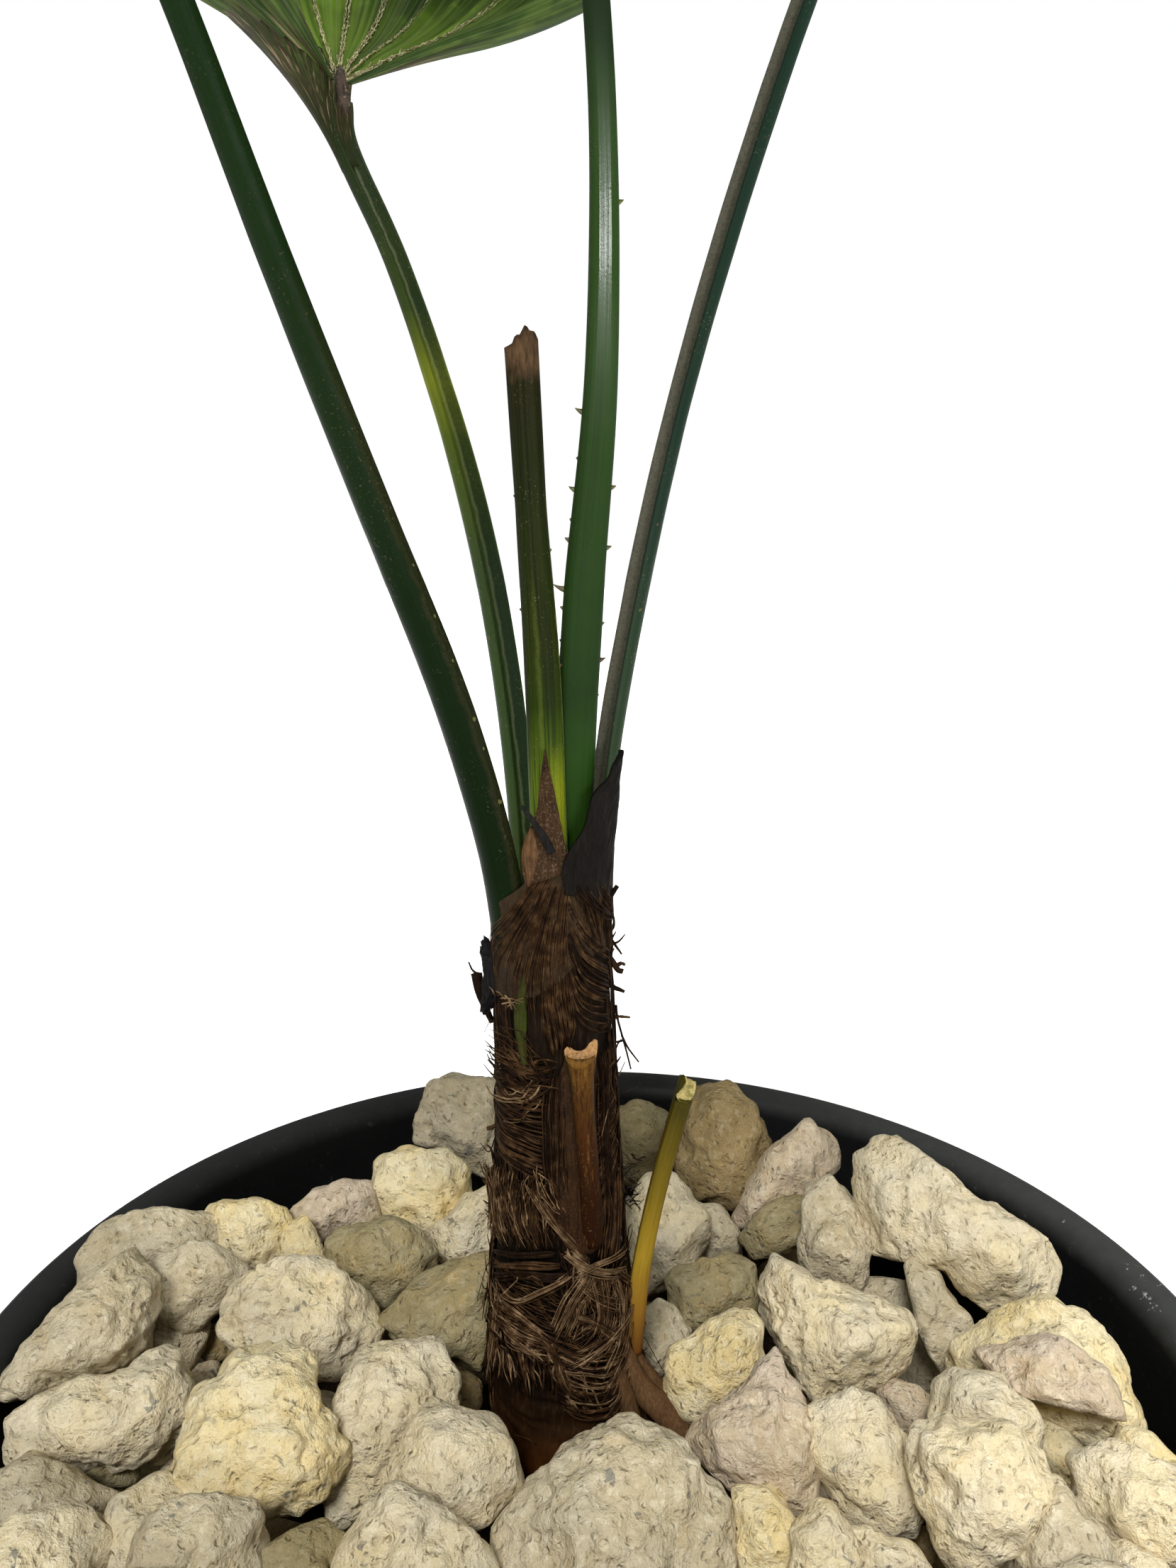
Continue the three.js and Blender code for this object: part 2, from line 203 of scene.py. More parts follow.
# ------------------------------------------------------------------ shader nodes
class Shader:
    """A material's node tree, built with short calls."""

    def __init__(self, name, **sockets):
        self.m = bpy.data.materials.new(name)
        self.m.use_nodes = True
        self.t = self.m.node_tree
        self.t.nodes.clear()
        self.out = self.t.nodes.new("ShaderNodeOutputMaterial")
        self.bsdf = self.t.nodes.new("ShaderNodeBsdfPrincipled")
        self.t.links.new(self.bsdf.outputs[0], self.out.inputs[0])
        for k, v in sockets.items():
            self.bsdf.inputs[k.replace("_", " ")].default_value = v

    def put(self, sock, v):
        if isinstance(v, bpy.types.NodeSocket):
            self.t.links.new(v, sock)
        else:
            sock.default_value = v

    def node(self, kind, ins=None, out=0, **props):
        n = self.t.nodes.new(kind)
        for k, v in props.items():
            setattr(n, k, v)
        for k, v in (ins or {}).items():
            self.put(n.inputs[k], v)
        return n.outputs[out]

    def object_mm(self, scale=(1, 1, 1)):
        c = self.node("ShaderNodeTexCoord", out="Object")
        return self.node("ShaderNodeMapping", {"Vector": c, "Scale": tuple(1000.0 * s for s in scale)})

    def uv(self, scale=(1, 1, 1)):
        c = self.node("ShaderNodeTexCoord", out="UV")
        return self.node("ShaderNodeMapping", {"Vector": c, "Scale": scale})

    def noise(self, vec, size, detail=2.0, rough=0.5, dist=0.0, out="Fac"):
        return self.node("ShaderNodeTexNoise", {"Vector": vec, "Scale": 1.0 / size, "Detail": detail, "Roughness": rough, "Distortion": dist}, out=out)

    def voronoi(self, vec, size, out="Distance", feature="F1", random=1.0):
        return self.node("ShaderNodeTexVoronoi", {"Vector": vec, "Scale": 1.0 / size, "Randomness": random}, out=out, feature=feature)

    def ramp(self, fac, stops, mode="LINEAR"):
        n = self.t.nodes.new("ShaderNodeValToRGB")
        n.color_ramp.interpolation = mode
        e = n.color_ramp.elements
        while len(e) < len(stops):
            e.new(0.5)
        for el, (p, c) in zip(e, stops):
            el.position = p
            el.color = (c, c, c, 1) if isinstance(c, (int, float)) else c
        self.put(n.inputs[0], fac)
        return n.outputs[0]

    def step(self, fac, lo, hi, a=0.0, b=1.0):
        return self.node("ShaderNodeMapRange", {"Value": fac, "From Min": lo, "From Max": hi, "To Min": a, "To Max": b})

    def math(self, op, a, b=0.0, clamp=False):
        n = self.t.nodes.new("ShaderNodeMath")
        n.operation = op
        n.use_clamp = clamp
        self.put(n.inputs[0], a)
        self.put(n.inputs[1], b)
        return n.outputs[0]

    def mix(self, fac, a, b, blend="MIX"):
        n = self.t.nodes.new("ShaderNodeMix")
        n.data_type = "RGBA"
        n.blend_type = blend
        self.put(n.inputs[0], fac)
        self.put(n.inputs[6], a)
        self.put(n.inputs[7], b)
        return n.outputs[2]

    def bump(self, height, distance=0.3, strength=1.0, normal=None):
        ins = {"Height": height, "Distance": distance * MM, "Strength": strength}
        if normal is not None:
            ins["Normal"] = normal
        return self.node("ShaderNodeBump", ins, out="Normal")

    def done(self, color=None, rough=None, normal=None):
        if color is not None:
            self.put(self.bsdf.inputs["Base Color"], color)
        if rough is not None:
            self.put(self.bsdf.inputs["Roughness"], rough)
        if normal is not None:
            self.put(self.bsdf.inputs["Normal"], normal)
        return self.m


def pumice_material(name, base, warm, stain=0.35, speck=1.0):
    s = Shader(name, Roughness=0.95, Specular_IOR_Level=0.10)
    v = s.object_mm()
    broad = s.noise(v, 9, 3, 0.6)
    col = s.mix(s.step(broad, 0.38, 0.62), base, warm)
    ochre = s.step(s.noise(v, 5.5, 3, 0.65, 0.6), 0.58, 0.70)
    col = s.mix(s.math("MULTIPLY", ochre, stain), col, lin(214, 176, 108))
    grime = s.step(s.noise(v, 2.3, 4, 0.68), 0.50, 0.68)
    col = s.mix(s.math("MULTIPLY", grime, 0.30), col, lin(156, 138, 98))
    chalk = s.step(s.noise(v, 1.3, 3, 0.62), 0.52, 0.68)
    col = s.mix(s.math("MULTIPLY", chalk, 0.38 if base[0] > 0.5 else 0.15), col, lin(252, 243, 216))
    # dark grains of several sizes, in clusters
    g0 = s.math("MULTIPLY", s.step(s.noise(v, 0.50, 2, 0.6), 0.63, 0.72), s.step(s.noise(v, 3.6, 2), 0.46, 0.64))
    col = s.mix(s.math("MULTIPLY", g0, 0.38 * speck), col, lin(92, 84, 64))
    g1 = s.math("MULTIPLY", s.step(s.noise(v, 0.95, 3, 0.55), 0.66, 0.70), s.step(s.noise(v, 6.0, 1), 0.46, 0.58))
    col = s.mix(s.math("MULTIPLY", g1, 0.66 * speck), col, lin(78, 74, 60))
    g2 = s.math("MULTIPLY", s.step(s.noise(v, 2.4, 3, 0.62, 0.7), 0.645, 0.685), s.step(s.noise(v, 9.0, 1), 0.44, 0.56))
    col = s.mix(s.math("MULTIPLY", g2, 0.70 * speck), col, lin(112, 114, 110))
    wob = s.node("ShaderNodeVectorMath", {0: v, 1: s.noise(v, 0.8, 1, out="Color")}, operation="ADD")
    # pores: dented by the bump below and painted darker brown inside, as painted shade in the dents
    pore_dent_and_shade = s.math("SUBTRACT", 1.0, s.step(s.voronoi(wob, 1.5), 0.12, 0.36))
    col = s.mix(s.math("MULTIPLY", pore_dent_and_shade, 0.20), col, lin(140, 118, 76))
    grain = s.noise(v, 0.55, 4, 0.7)
    rough = s.noise(v, 1.7, 3, 0.62)
    lump = s.noise(v, 4.2, 2, 0.55)
    h = s.math("ADD", s.math("MULTIPLY", grain, 0.72), s.math("MULTIPLY", rough, 0.85))
    h = s.math("ADD", h, s.math("MULTIPLY", lump, 0.8))
    h = s.math("SUBTRACT", h, s.math("MULTIPLY", pore_dent_and_shade, 0.40))
    return s.done(col, None, s.bump(h, 0.90, 1.0))


def plastic_material():
    s = Shader("pot_plastic", Specular_IOR_Level=0.14)
    v = s.object_mm()
    soft = s.noise(v, 26, 2, 0.5)
    col = s.mix(s.step(soft, 0.3, 0.7), lin(13, 14, 14), lin(19, 20, 20))
    sep = s.t.nodes.new("ShaderNodeSeparateXYZ")
    s.t.links.new(v, sep.inputs[0])
    # painted light: the lip mask lays a lighter grey on the rim's top and inner slope, stronger toward +x, where the
    # rim catches the lamps
    lip = s.step(s.math("ADD", sep.outputs[2], s.math("MULTIPLY", s.noise(v, 3.0, 2), 1.6)), 147.2, 150.8)
    lip = s.math("MULTIPLY", lip, s.step(sep.outputs[0], 0.0, 70.0, 0.40, 1.0))
    col = s.mix(lip, col, lin(60, 61, 59))
    dust = s.step(s.noise(v, 1.7, 3, 0.7), 0.62, 0.80)
    col = s.mix(s.math("MULTIPLY", dust, 0.16), col, lin(120, 116, 108))
    rough = s.step(s.noise(v, 5.0, 3, 0.6), 0.2, 0.8, 0.42, 0.58)
    h = s.math("ADD", s.noise(v, 0.55, 2, 0.6), s.math("MULTIPLY", soft, 0.6))
    return s.done(col, rough, s.bump(h, 0.05, 0.5))


def soil_material():
    s = Shader("potting_mix", Roughness=1.0, Specular_IOR_Level=0.1)
    v = s.object_mm()
    col = s.ramp(s.noise(v, 3.0, 4, 0.65), [(0.3, lin(20, 15, 11)), (0.55, lin(42, 31, 22)), (0.75, lin(68, 50, 34))])
    h = s.math("ADD", s.noise(v, 2.2, 4, 0.7), s.math("MULTIPLY", s.voronoi(v, 3.0), 0.6))
    return s.done(col, None, s.bump(h, 1.2, 1.0))


# ------------------------------------------------------------------ camera
FOCAL = 1662.0
CAM = np.array([0.0, -152.46, 261.33])
_yaw, _pitch, _roll = np.radians([-0.58, 11.07, 0.13])
_f0 = np.array([math.sin(_yaw), math.cos(_yaw), 0.0])
_r0 = np.array([math.cos(_yaw), -math.sin(_yaw), 0.0])
_z = np.array([0.0, 0.0, 1.0])
FWD = _f0 * math.cos(_pitch) - _z * math.sin(_pitch)
_up = _z * math.cos(_pitch) + _f0 * math.sin(_pitch)
RIGHT = _r0 * math.cos(_roll) + _up * math.sin(_roll)
UP = -_r0 * math.sin(_roll) + _up * math.cos(_roll)


def ray(px, py):
    return FWD + RIGHT * (px - 829.5) / FOCAL - UP * (py - 1106.0) / FOCAL


def at_height(px, py, z):
    """Where the line of sight through a pixel reaches a height, and its distance along the view."""
    d = ray(px, py)
    t = (z - CAM[2]) / d[2]
    return CAM + d * t, t


def project(p):
    v = np.atleast_2d(p) - CAM
    w = v @ FWD
    return np.stack([829.5 + FOCAL * (v @ RIGHT) / w, 1106.0 - FOCAL * (v @ UP) / w], -1)


cam_data = bpy.data.cameras.new("camera")
cam_data.sensor_width = 36.0
cam_data.lens = FOCAL * 36.0 / 2212.0
cam_data.clip_start = 0.01
cam_data.clip_end = 50
cam = bpy.data.objects.new("camera", cam_data)
bpy.context.scene.collection.objects.link(cam)
cam.matrix_world = Matrix([[RIGHT[i], UP[i], -FWD[i], CAM[i] * MM] for i in range(3)] + [[0, 0, 0, 1]])
bpy.context.scene.camera = cam
bpy.context.scene.view_settings.view_transform = "Standard"
bpy.context.scene.view_settings.look = "None"

# ------------------------------------------------------------------ pot and mix
POT_H, POT_R, FOOT_R = 150.0, 90.0, 63.0


def outer_r(z):
    return FOOT_R + (POT_R - 2.5 - FOOT_R) * z / POT_H


def inner_r(z):
    return outer_r(z) - 4.0


def arc(cx, cz, r, a0, a1, n):
    return [(cx + r * math.cos(math.radians(a0 + (a1 - a0) * i / n)), cz + r * math.sin(math.radians(a0 + (a1 - a0) * i / n))) for i in range(n + 1)]


PLASTIC = plastic_material()
profile = [(0, 0.8), (44, 0.8), (46, 0), (FOOT_R - 2.4, 0)]
profile += arc(FOOT_R - 2.2, 2.2, 2.2, -90, -12, 5)
profile += [(outer_r(z) - 0.02, z) for z in np.linspace(6, 137, 14)]
profile += [(outer_r(138.6), 138.6), (outer_r(139.4) + 0.25, 139.5), (POT_R - 0.9, 140.6), (POT_R - 0.45, 141.3), (POT_R - 0.3, 144), (POT_R - 0.1, 147.4)]
profile += arc(POT_R - 1.6, 148.5, 1.5, 0, 82, 6)
profile += [(86.6, 149.95), (84.9, 149.4), (83.7, 148.2), (83.05, 146.4), (82.6, 143.5)]
profile += [(inner_r(z), z) for z in np.linspace(138, 8, 14)]
profile += [(inner_r(5.5), 5.6), (inner_r(4.5) - 1.4, 4.5), (30, 4.5), (0, 4.5)]
pv, pq, pt = lathe(profile, 224)
pot = mesh_object("pot_shell", pv, pq, pt, [PLASTIC])
for i in range(5):
    a = (i + 0.5) / 5 * 2 * math.pi
    cv, cq, ct = lathe([(0, -8), (6, -8), (6, 12), (0, 12)], 40)
    hole = mesh_object("drain_cutter", cv + (36 * math.cos(a), 36 * math.sin(a), 0), cq, ct, body=None, smooth=False)
    mod = pot.modifiers.new("hole", "BOOLEAN")
    mod.object = hole
    mod.solver = "EXACT"
    bpy.context.view_layer.objects.active = pot
    bpy.ops.object.modifier_apply(modifier=mod.name)
    bpy.data.objects.remove(hole)
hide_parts("pot")

# beads of water on the inner lip, at the right; their pale, mottled grey colour is a painted glint
WATER = Shader("water_bead_painted_glint", Roughness=0.08, Specular_IOR_Level=0.6, IOR=1.33)
_wv = WATER.object_mm()
WATER = WATER.done(WATER.mix(WATER.step(WATER.noise(_wv, 0.6), 0.3, 0.7), lin(72, 74, 75), lin(122, 124, 126)))

beads = Bag()
rnd = np.random.RandomState(19)
bead_dirs, bead_faces = None, None
for cx, cy, sx, sy, count in ((1501, 1724, 3, 3, 3), (1589, 1786, 3, 5, 4), (1612, 1800, 4, 4, 5), (1600, 1816, 6, 5, 5), (1618, 1830, 9, 7, 13), (1628, 1844, 7, 7, 8), (1634, 1812, 6, 6, 3)):
    for _ in range(count):
        hit = pot.ray_cast(Vector(CAM * MM), Vector(ray(cx + rnd.normal() * sx * 0.6, cy + rnd.normal() * sy * 0.6)))
        if not hit[0]:
            continue
        at, nrm = np.array(hit[1]) / MM, np.array(hit[2])
        size = 0.10 + 0.26 * rnd.rand() ** 2.2
        if bead_dirs is None:
            a = np.arange(10) / 10 * 2 * math.pi
            k = np.linspace(0, 1, 5)[:, None]
            bead_dirs = np.stack([np.cos(a)[None] * np.cos(k * 1.5), np.sin(a)[None] * np.cos(k * 1.5), 0 * a[None] + np.sin(k * 1.5) * 0.62 - 0.12], -1)
        e1 = np.cross(nrm, (0.3, 0.2, 0.9))
        e1 /= np.linalg.norm(e1)
        e2 = np.cross(nrm, e1)
        stretch = rnd.uniform(0.8, 1.5)
        ringset = at + size * (bead_dirs[..., :1] * e1 + bead_dirs[..., 1:2] * e2 * stretch + bead_dirs[..., 2:] * nrm)
        n0 = np.arange(50).reshape(5, 10)
        quads = np.stack([n0[:-1], np.roll(n0, -1, 1)[:-1], np.roll(n0, -1, 1)[1:], n0[1:]], -1).reshape(-1, 4)
        caps = [(50, j, (j + 1) % 10) for j in range(10)] + [(51, 40 + (j + 1) % 10, 40 + j) for j in range(10)]
        beads.add(np.vstack([ringset.reshape(-1, 3), ringset[0].mean(0), ringset[-1].mean(0)]), quads, np.array(caps)[:, [0, 2, 1]])
o = beads.build("water_beads", [WATER])

soil_pts = 96
sv, sq, st = lathe([(0, 4.9)] + [(inner_r(5.2) - 0.6, 4.9)] + [(inner_r(z) - 0.6, z) for z in np.linspace(12, 116, 9)]
                   + [((inner_r(118) - 0.6) * k, 118) for k in np.linspace(1, 0.04, 44)] + [(0, 118)], 160)
top = sv[:, 2] > 117.5
sv[top, 2] += np.clip(1.2 * fbm(sv[top] / 5.0, 3, 5) - 1.0, -3, 0)
mix_piece = mesh_object("potting_mix_surface", sv, sq, st, [soil_material()])
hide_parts("potting_mix")

# ------------------------------------------------------------------ pumice
_ICO = {}


def ico(level):
    if level not in _ICO:
        import bmesh
        bm = bmesh.new()
        bmesh.ops.create_icosphere(bm, subdivisions=level, radius=1.0)
        _ICO[level] = (np.array([v.co[:] for v in bm.verts]), np.array([[v.index for v in f.verts] for f in bm.faces]))
        bm.free()
    return _ICO[level]


def soft_hull(dirs, planes, power):
    """Distance to the rounded convex body that planes (normal, offset) bound, along unit directions."""
    total = np.zeros(len(dirs))
    for n, d in planes:
        c = dirs @ n
        total += (np.maximum(c, 0) / d) ** power
    return total ** (-1.0 / power)


def chipped(dirs, radius, axis, rnd, count, low=0.86, lean=0.55):
    """Cuts flat chips off a body given by its radius along each direction, mostly on the sides that axis points to."""
    p = dirs * radius[:, None]
    out = radius.copy()
    for _ in range(count):
        n = rnd.normal(size=3)
        n /= np.linalg.norm(n)
        if axis is not None:
            n = n * lean + axis * (1 if rnd.rand() < 0.7 else -1)
            n /= np.linalg.norm(n)
        h = (p @ n).max() * rnd.uniform(low, 0.97)
        c = dirs @ n
        cut = np.where(c > 0.05, h / np.maximum(c, 0.05), 1e6)
        out = -np.logaddexp(-out * 2.6, -cut * 2.6) / 2.6
    return out


def roughen(dirs, radius, size, seed, level):
    """Adds the lumps, dents and pores of pumice to a body given by its radius along each direction."""
    p = dirs * radius[:, None] + seed * 17.31
    k = min(1.0, size / 18)
    out = min(0.060 * size, 0.9) * fbm(p / (0.60 * size), 2, seed)
    out += 0.85 * k * fbm(p / 4.6, 2, seed + 5)
    out += 0.95 * k * (0.35 - np.abs(noise(p / 5.6, seed + 3)))
    out -= 1.70 * k * pits(p, 9.5, seed + 9, 0.45, (0.18, 0.36))
    out -= 0.80 * k * pits(p, 5.2, seed + 11, 0.40, (0.14, 0.32))
    if level >= 5:
        out += 0.26 * noise(p / 1.9, seed + 7)
        out -= 0.62 * pits(p, 2.9, seed + 13, 0.45, (0.16, 0.34))
    if level >= 6:
        out += 0.17 * noise(p / 1.05, seed + 8)
        out -= 0.34 * pits(p, 1.8, seed + 19, 0.45, (0.2, 0.4))
    return radius + out


# One line for each stone whose outline shows: tint, height of its middle,
# mesh level, thickness along the view, then the corners of one or two
# rounded bodies, which overlap round their middle.
# rows tinted olive or brown are painted shade: darker copies of the pumice colour for stones that sit in shadow
SHOWN = [
    ("grey", 150, 6, 0.85, [[(168, 1752), (214, 1785), (226, 1848), (206, 1905), (172, 1938), (110, 1954), (24, 1980), (2, 1962), (20, 1922), (78, 1840), (120, 1790)]]),
    ("grey", 152, 5, 0.9, [[(118, 1778), (132, 1742), (165, 1716), (245, 1710), (288, 1714), (318, 1745), (296, 1785), (215, 1800), (130, 1806)]]),
    ("grey", 150.5, 5, 0.9, [[(210, 1795), (232, 1768), (290, 1756), (335, 1776), (353, 1804), (325, 1842), (285, 1870), (235, 1875), (213, 1840)]]),
    ("grey", 142, 4, 1.0, [[(205, 1872), (240, 1850), (290, 1868), (287, 1897), (262, 1937), (236, 1950), (212, 1935)]]),
    ("yellow", 150.5, 5, 0.95, [[(284, 1722), (300, 1702), (360, 1697), (402, 1708), (417, 1728), (414, 1760), (392, 1784), (350, 1802), (308, 1775)]]),
    ("yellow", 149, 4, 0.9, [[(403, 1728), (424, 1713), (446, 1742), (457, 1765), (472, 1795), (440, 1805), (400, 1790)]]),
    ("pink", 150, 5, 0.95, [[(406, 1714), (445, 1684), (485, 1669), (518, 1672), (531, 1700), (533, 1724), (480, 1742), (446, 1750), (420, 1738)]]),
    ("shaded_olive", 148.5, 5, 0.85, [[(460, 1768), (470, 1747), (500, 1730), (545, 1723), (592, 1735), (612, 1764), (614, 1795), (585, 1826), (535, 1853), (495, 1835), (466, 1798)]]),
    ("yellow", 150, 5, 0.95, [[(515, 1677), (532, 1644), (562, 1628), (622, 1630), (655, 1642), (660, 1676), (648, 1712), (610, 1752), (545, 1735)]]),
    ("cream", 147, 5, 0.95, [[(604, 1726), (650, 1697), (688, 1668), (725, 1690), (720, 1760), (690, 1790), (640, 1792), (608, 1764)]]),
    ("grey", 149, 5, 1.0, [[(604, 1530), (630, 1520), (667, 1524), (702, 1538), (714, 1600), (706, 1652), (680, 1662), (640, 1640), (598, 1628), (583, 1612), (590, 1568)]]),
    ("shaded_olive", 146.5, 5, 0.9, [[(533, 1862), (574, 1826), (602, 1800), (642, 1783), (700, 1778), (716, 1830), (694, 1905), (660, 1944), (628, 1932), (590, 1905), (545, 1895)]]),
    ("cream", 148.5, 6, 0.85, [[(313, 1868), (324, 1820), (368, 1794), (430, 1786), (474, 1800), (522, 1838), (542, 1872), (536, 1898), (500, 1918), (460, 1938), (400, 1930), (338, 1908)]]),
    ("yellow", 148.5, 6, 0.85, [[(318, 1914), (370, 1908), (414, 1921), (433, 1946), (432, 2040), (404, 2108), (362, 2133), (300, 2130), (264, 2120), (252, 2090), (258, 2040), (264, 1984)],
                              [(290, 2010), (345, 1985), (436, 1996), (476, 2026), (494, 2050), (478, 2082), (440, 2110), (362, 2133), (290, 2125), (262, 2080)]]),
    ("cream", 147, 6, 0.9, [[(24, 2005), (48, 1980), (104, 1955), (170, 1945), (228, 1950), (258, 1985), (262, 2028), (238, 2048), (200, 2060), (150, 2072), (82, 2068), (42, 2048)],
                          [(120, 1975), (190, 1925), (212, 1909), (240, 1911), (254, 1945), (263, 2000), (230, 2050), (130, 2050)]]),
    ("grey", 146, 5, 0.9, [[(-62, 2112), (2, 2080), (46, 2062), (92, 2080), (154, 2092), (170, 2112), (148, 2152), (60, 2170), (-40, 2165)]]),
    ("shaded_olive", 141, 4, 0.9, [[(62, 2066), (150, 2060), (198, 2058), (196, 2092), (144, 2100), (80, 2096)]]),
    ("cream", 147, 5, 0.9, [[(-34, 2190), (8, 2155), (60, 2140), (112, 2142), (142, 2164), (154, 2200), (142, 2262), (60, 2290), (-24, 2262)]]),
    ("cream", 146, 5, 0.9, [[(144, 2142), (164, 2110), (192, 2096), (226, 2086), (246, 2104), (266, 2130), (246, 2170), (226, 2240), (158, 2244), (144, 2192)]]),
    ("grey", 148, 5, 0.9, [[(200, 2164), (234, 2130), (290, 2121), (350, 2131), (371, 2148), (368, 2212), (356, 2274), (220, 2276), (188, 2222)]]),
    ("pink", 139, 4, 1.0, [[(250, 1962), (276, 1925), (302, 1925), (314, 1946), (302, 1968), (266, 1990)]]),
    ("brown", 140, 4, 1.0, [[(284, 1878), (322, 1864), (328, 1908), (300, 1920), (284, 1906)]]),
    ("grey", 138, 4, 1.0, [[(224, 2092), (240, 2050), (264, 2034), (270, 2070), (258, 2104), (236, 2108)]]),
    ("shaded_olive", 144, 5, 0.9, [[(366, 2192), (398, 2170), (437, 2159), (482, 2171), (494, 2214), (482, 2266), (420, 2285), (370, 2262)]]),
    ("grey", 138, 4, 1.0, [[(424, 1975), (450, 1978), (472, 1998), (462, 2024), (430, 2014)]]),
    ("cream", 145.5, 6, 0.9, [[(500, 1914), (540, 1900), (582, 1890), (622, 1896), (643, 1936), (656, 2000), (630, 2050), (560, 2110), (498, 2147), (468, 2128), (453, 2060), (454, 2015), (470, 1955)]]),
    ("brown", 139, 4, 1.0, [[(622, 1915), (650, 1934), (676, 1950), (680, 1976), (666, 2000), (645, 1995)]]),
    ("cream", 148, 5, 0.9, [[(572, 2010), (612, 1986), (655, 1999), (690, 2012), (719, 2050), (739, 2093), (702, 2130), (655, 2145), (603, 2134), (560, 2098), (556, 2048)]]),
    ("cream", 147, 5, 0.9, [[(478, 2176), (500, 2144), (537, 2119), (577, 2108), (604, 2128), (642, 2144), (682, 2160), (692, 2188), (688, 2244), (600, 2290), (492, 2272), (478, 2212)]]),
    ("grey", 144.5, 6, 0.80, [[(672, 2150), (690, 2124), (744, 2080), (788, 2036), (838, 2010), (892, 2002), (948, 2022), (1004, 2072), (1046, 2112), (1062, 2200), (1024, 2304), (880, 2340), (730, 2306), (682, 2232)]]),
    ("shaded_olive", 143, 4, 0.9, [[(850, 1590), (872, 1566), (905, 1554), (944, 1570), (940, 1612), (905, 1682), (866, 1652)]]),
    ("brown", 150, 5, 0.9, [[(984, 1540), (1002, 1531), (1032, 1534), (1062, 1563), (1082, 1600), (1083, 1640), (1062, 1682), (1030, 1702), (998, 1698), (972, 1690), (957, 1655), (954, 1615), (968, 1568)]]),
    ("cream", 146, 5, 0.9, [[(915, 1665), (940, 1656), (962, 1670), (986, 1697), (1001, 1726), (986, 1772), (950, 1802), (908, 1822), (880, 1800), (885, 1720)]]),
    ("grey", 141, 4, 1.0, [[(980, 1702), (1016, 1704), (1043, 1735), (1038, 1764), (1000, 1782), (985, 1745)]]),
    ("shaded_olive", 142.5, 5, 1.0, [[(945, 1805), (988, 1780), (1030, 1768), (1066, 1785), (1068, 1830), (1052, 1862), (1010, 1875), (975, 1888), (950, 1855)]]),
    ("grey", 138.5, 5, 1.0, [[(896, 1866), (930, 1838), (957, 1848), (980, 1888), (955, 1915), (938, 1946), (918, 1955), (900, 1920)]]),
    ("yellow", 146, 5, 0.9, [[(934, 1952), (951, 1905), (1005, 1873), (1054, 1857), (1078, 1869), (1078, 1927), (1046, 1967), (1000, 1993), (958, 1987), (936, 1970)]]),
    ("pink", 147, 6, 0.85, [[(1074, 1920), (1086, 1913), (1104, 1915), (1118, 1942), (1142, 2010), (1150, 2060), (1149, 2096), (1130, 2140), (1080, 2108), (1030, 2075), (1018, 2000), (1058, 1958)],
                          [(973, 2030), (988, 2006), (1045, 1978), (1100, 1990), (1138, 2030), (1126, 2092), (1050, 2104), (998, 2062)]]),
    ("pink", 149.5, 5, 0.95, [[(1028, 1702), (1034, 1679), (1088, 1630), (1110, 1599), (1140, 1585), (1166, 1589), (1182, 1612), (1185, 1640), (1177, 1668), (1120, 1696), (1090, 1718), (1046, 1738)]]),
    ("shaded_olive", 145, 4, 0.9, [[(1040, 1745), (1080, 1705), (1130, 1688), (1158, 1700), (1145, 1745), (1100, 1765), (1060, 1775)]]),
    ("grey", 148.5, 5, 0.95, [[(1144, 1685), (1176, 1662), (1202, 1688), (1220, 1730), (1222, 1782), (1206, 1817), (1178, 1808), (1138, 1796), (1126, 1742)]]),
    ("cream", 149, 6, 0.8, [[(1062, 1835), (1070, 1793), (1096, 1770), (1146, 1790), (1185, 1850), (1196, 1920), (1167, 1977), (1138, 1988), (1110, 1932), (1078, 1882)],
                          [(1085, 1830), (1150, 1803), (1204, 1817), (1288, 1849), (1299, 1886), (1272, 1937), (1200, 1968), (1130, 1955)]]),
    ("cream", 151, 6, 0.85, [[(1203, 1692), (1214, 1628), (1254, 1600), (1292, 1602), (1333, 1643), (1404, 1703), (1424, 1780), (1380, 1805), (1295, 1787), (1244, 1797), (1216, 1766)],
                           [(1285, 1700), (1338, 1658), (1400, 1696), (1441, 1697), (1480, 1734), (1493, 1776), (1482, 1828), (1456, 1848), (1385, 1861), (1343, 1818), (1296, 1775)]]),
    ("grey", 143, 5, 0.95, [[(1282, 1800), (1297, 1786), (1324, 1793), (1376, 1876), (1344, 1928), (1320, 1950), (1300, 1942), (1294, 1880), (1276, 1846)]]),
    ("grey", 140, 4, 1.0, [[(1196, 1816), (1226, 1802), (1284, 1808), (1290, 1842), (1275, 1854), (1220, 1840)]]),
    ("yellow", 148, 6, 0.8, [[(1332, 1950), (1338, 1900), (1370, 1873), (1412, 1848), (1456, 1832), (1507, 1838), (1552, 1864), (1576, 1890), (1594, 1930), (1599, 1988), (1608, 2032), (1560, 2046), (1450, 2020), (1376, 1975)]]),
    ("pink", 151.5, 6, 0.75, [[(1366, 1942), (1388, 1914), (1440, 1898), (1482, 1892), (1532, 1918), (1566, 1945), (1573, 1987), (1556, 2014), (1490, 2034), (1440, 2000), (1420, 1964), (1376, 1954)]]),
    ("cream", 149, 5, 0.9, [[(1315, 2004), (1328, 1965), (1354, 1942), (1422, 1955), (1450, 1984), (1470, 2025), (1455, 2066), (1380, 2078), (1322, 2044)]]),
    ("cream", 150, 6, 0.85, [[(1281, 2062), (1293, 2033), (1315, 2015), (1370, 2012), (1432, 2020), (1467, 2048), (1481, 2090), (1463, 2152), (1427, 2187), (1397, 2197), (1345, 2213), (1317, 2182), (1301, 2132), (1282, 2088)]]),
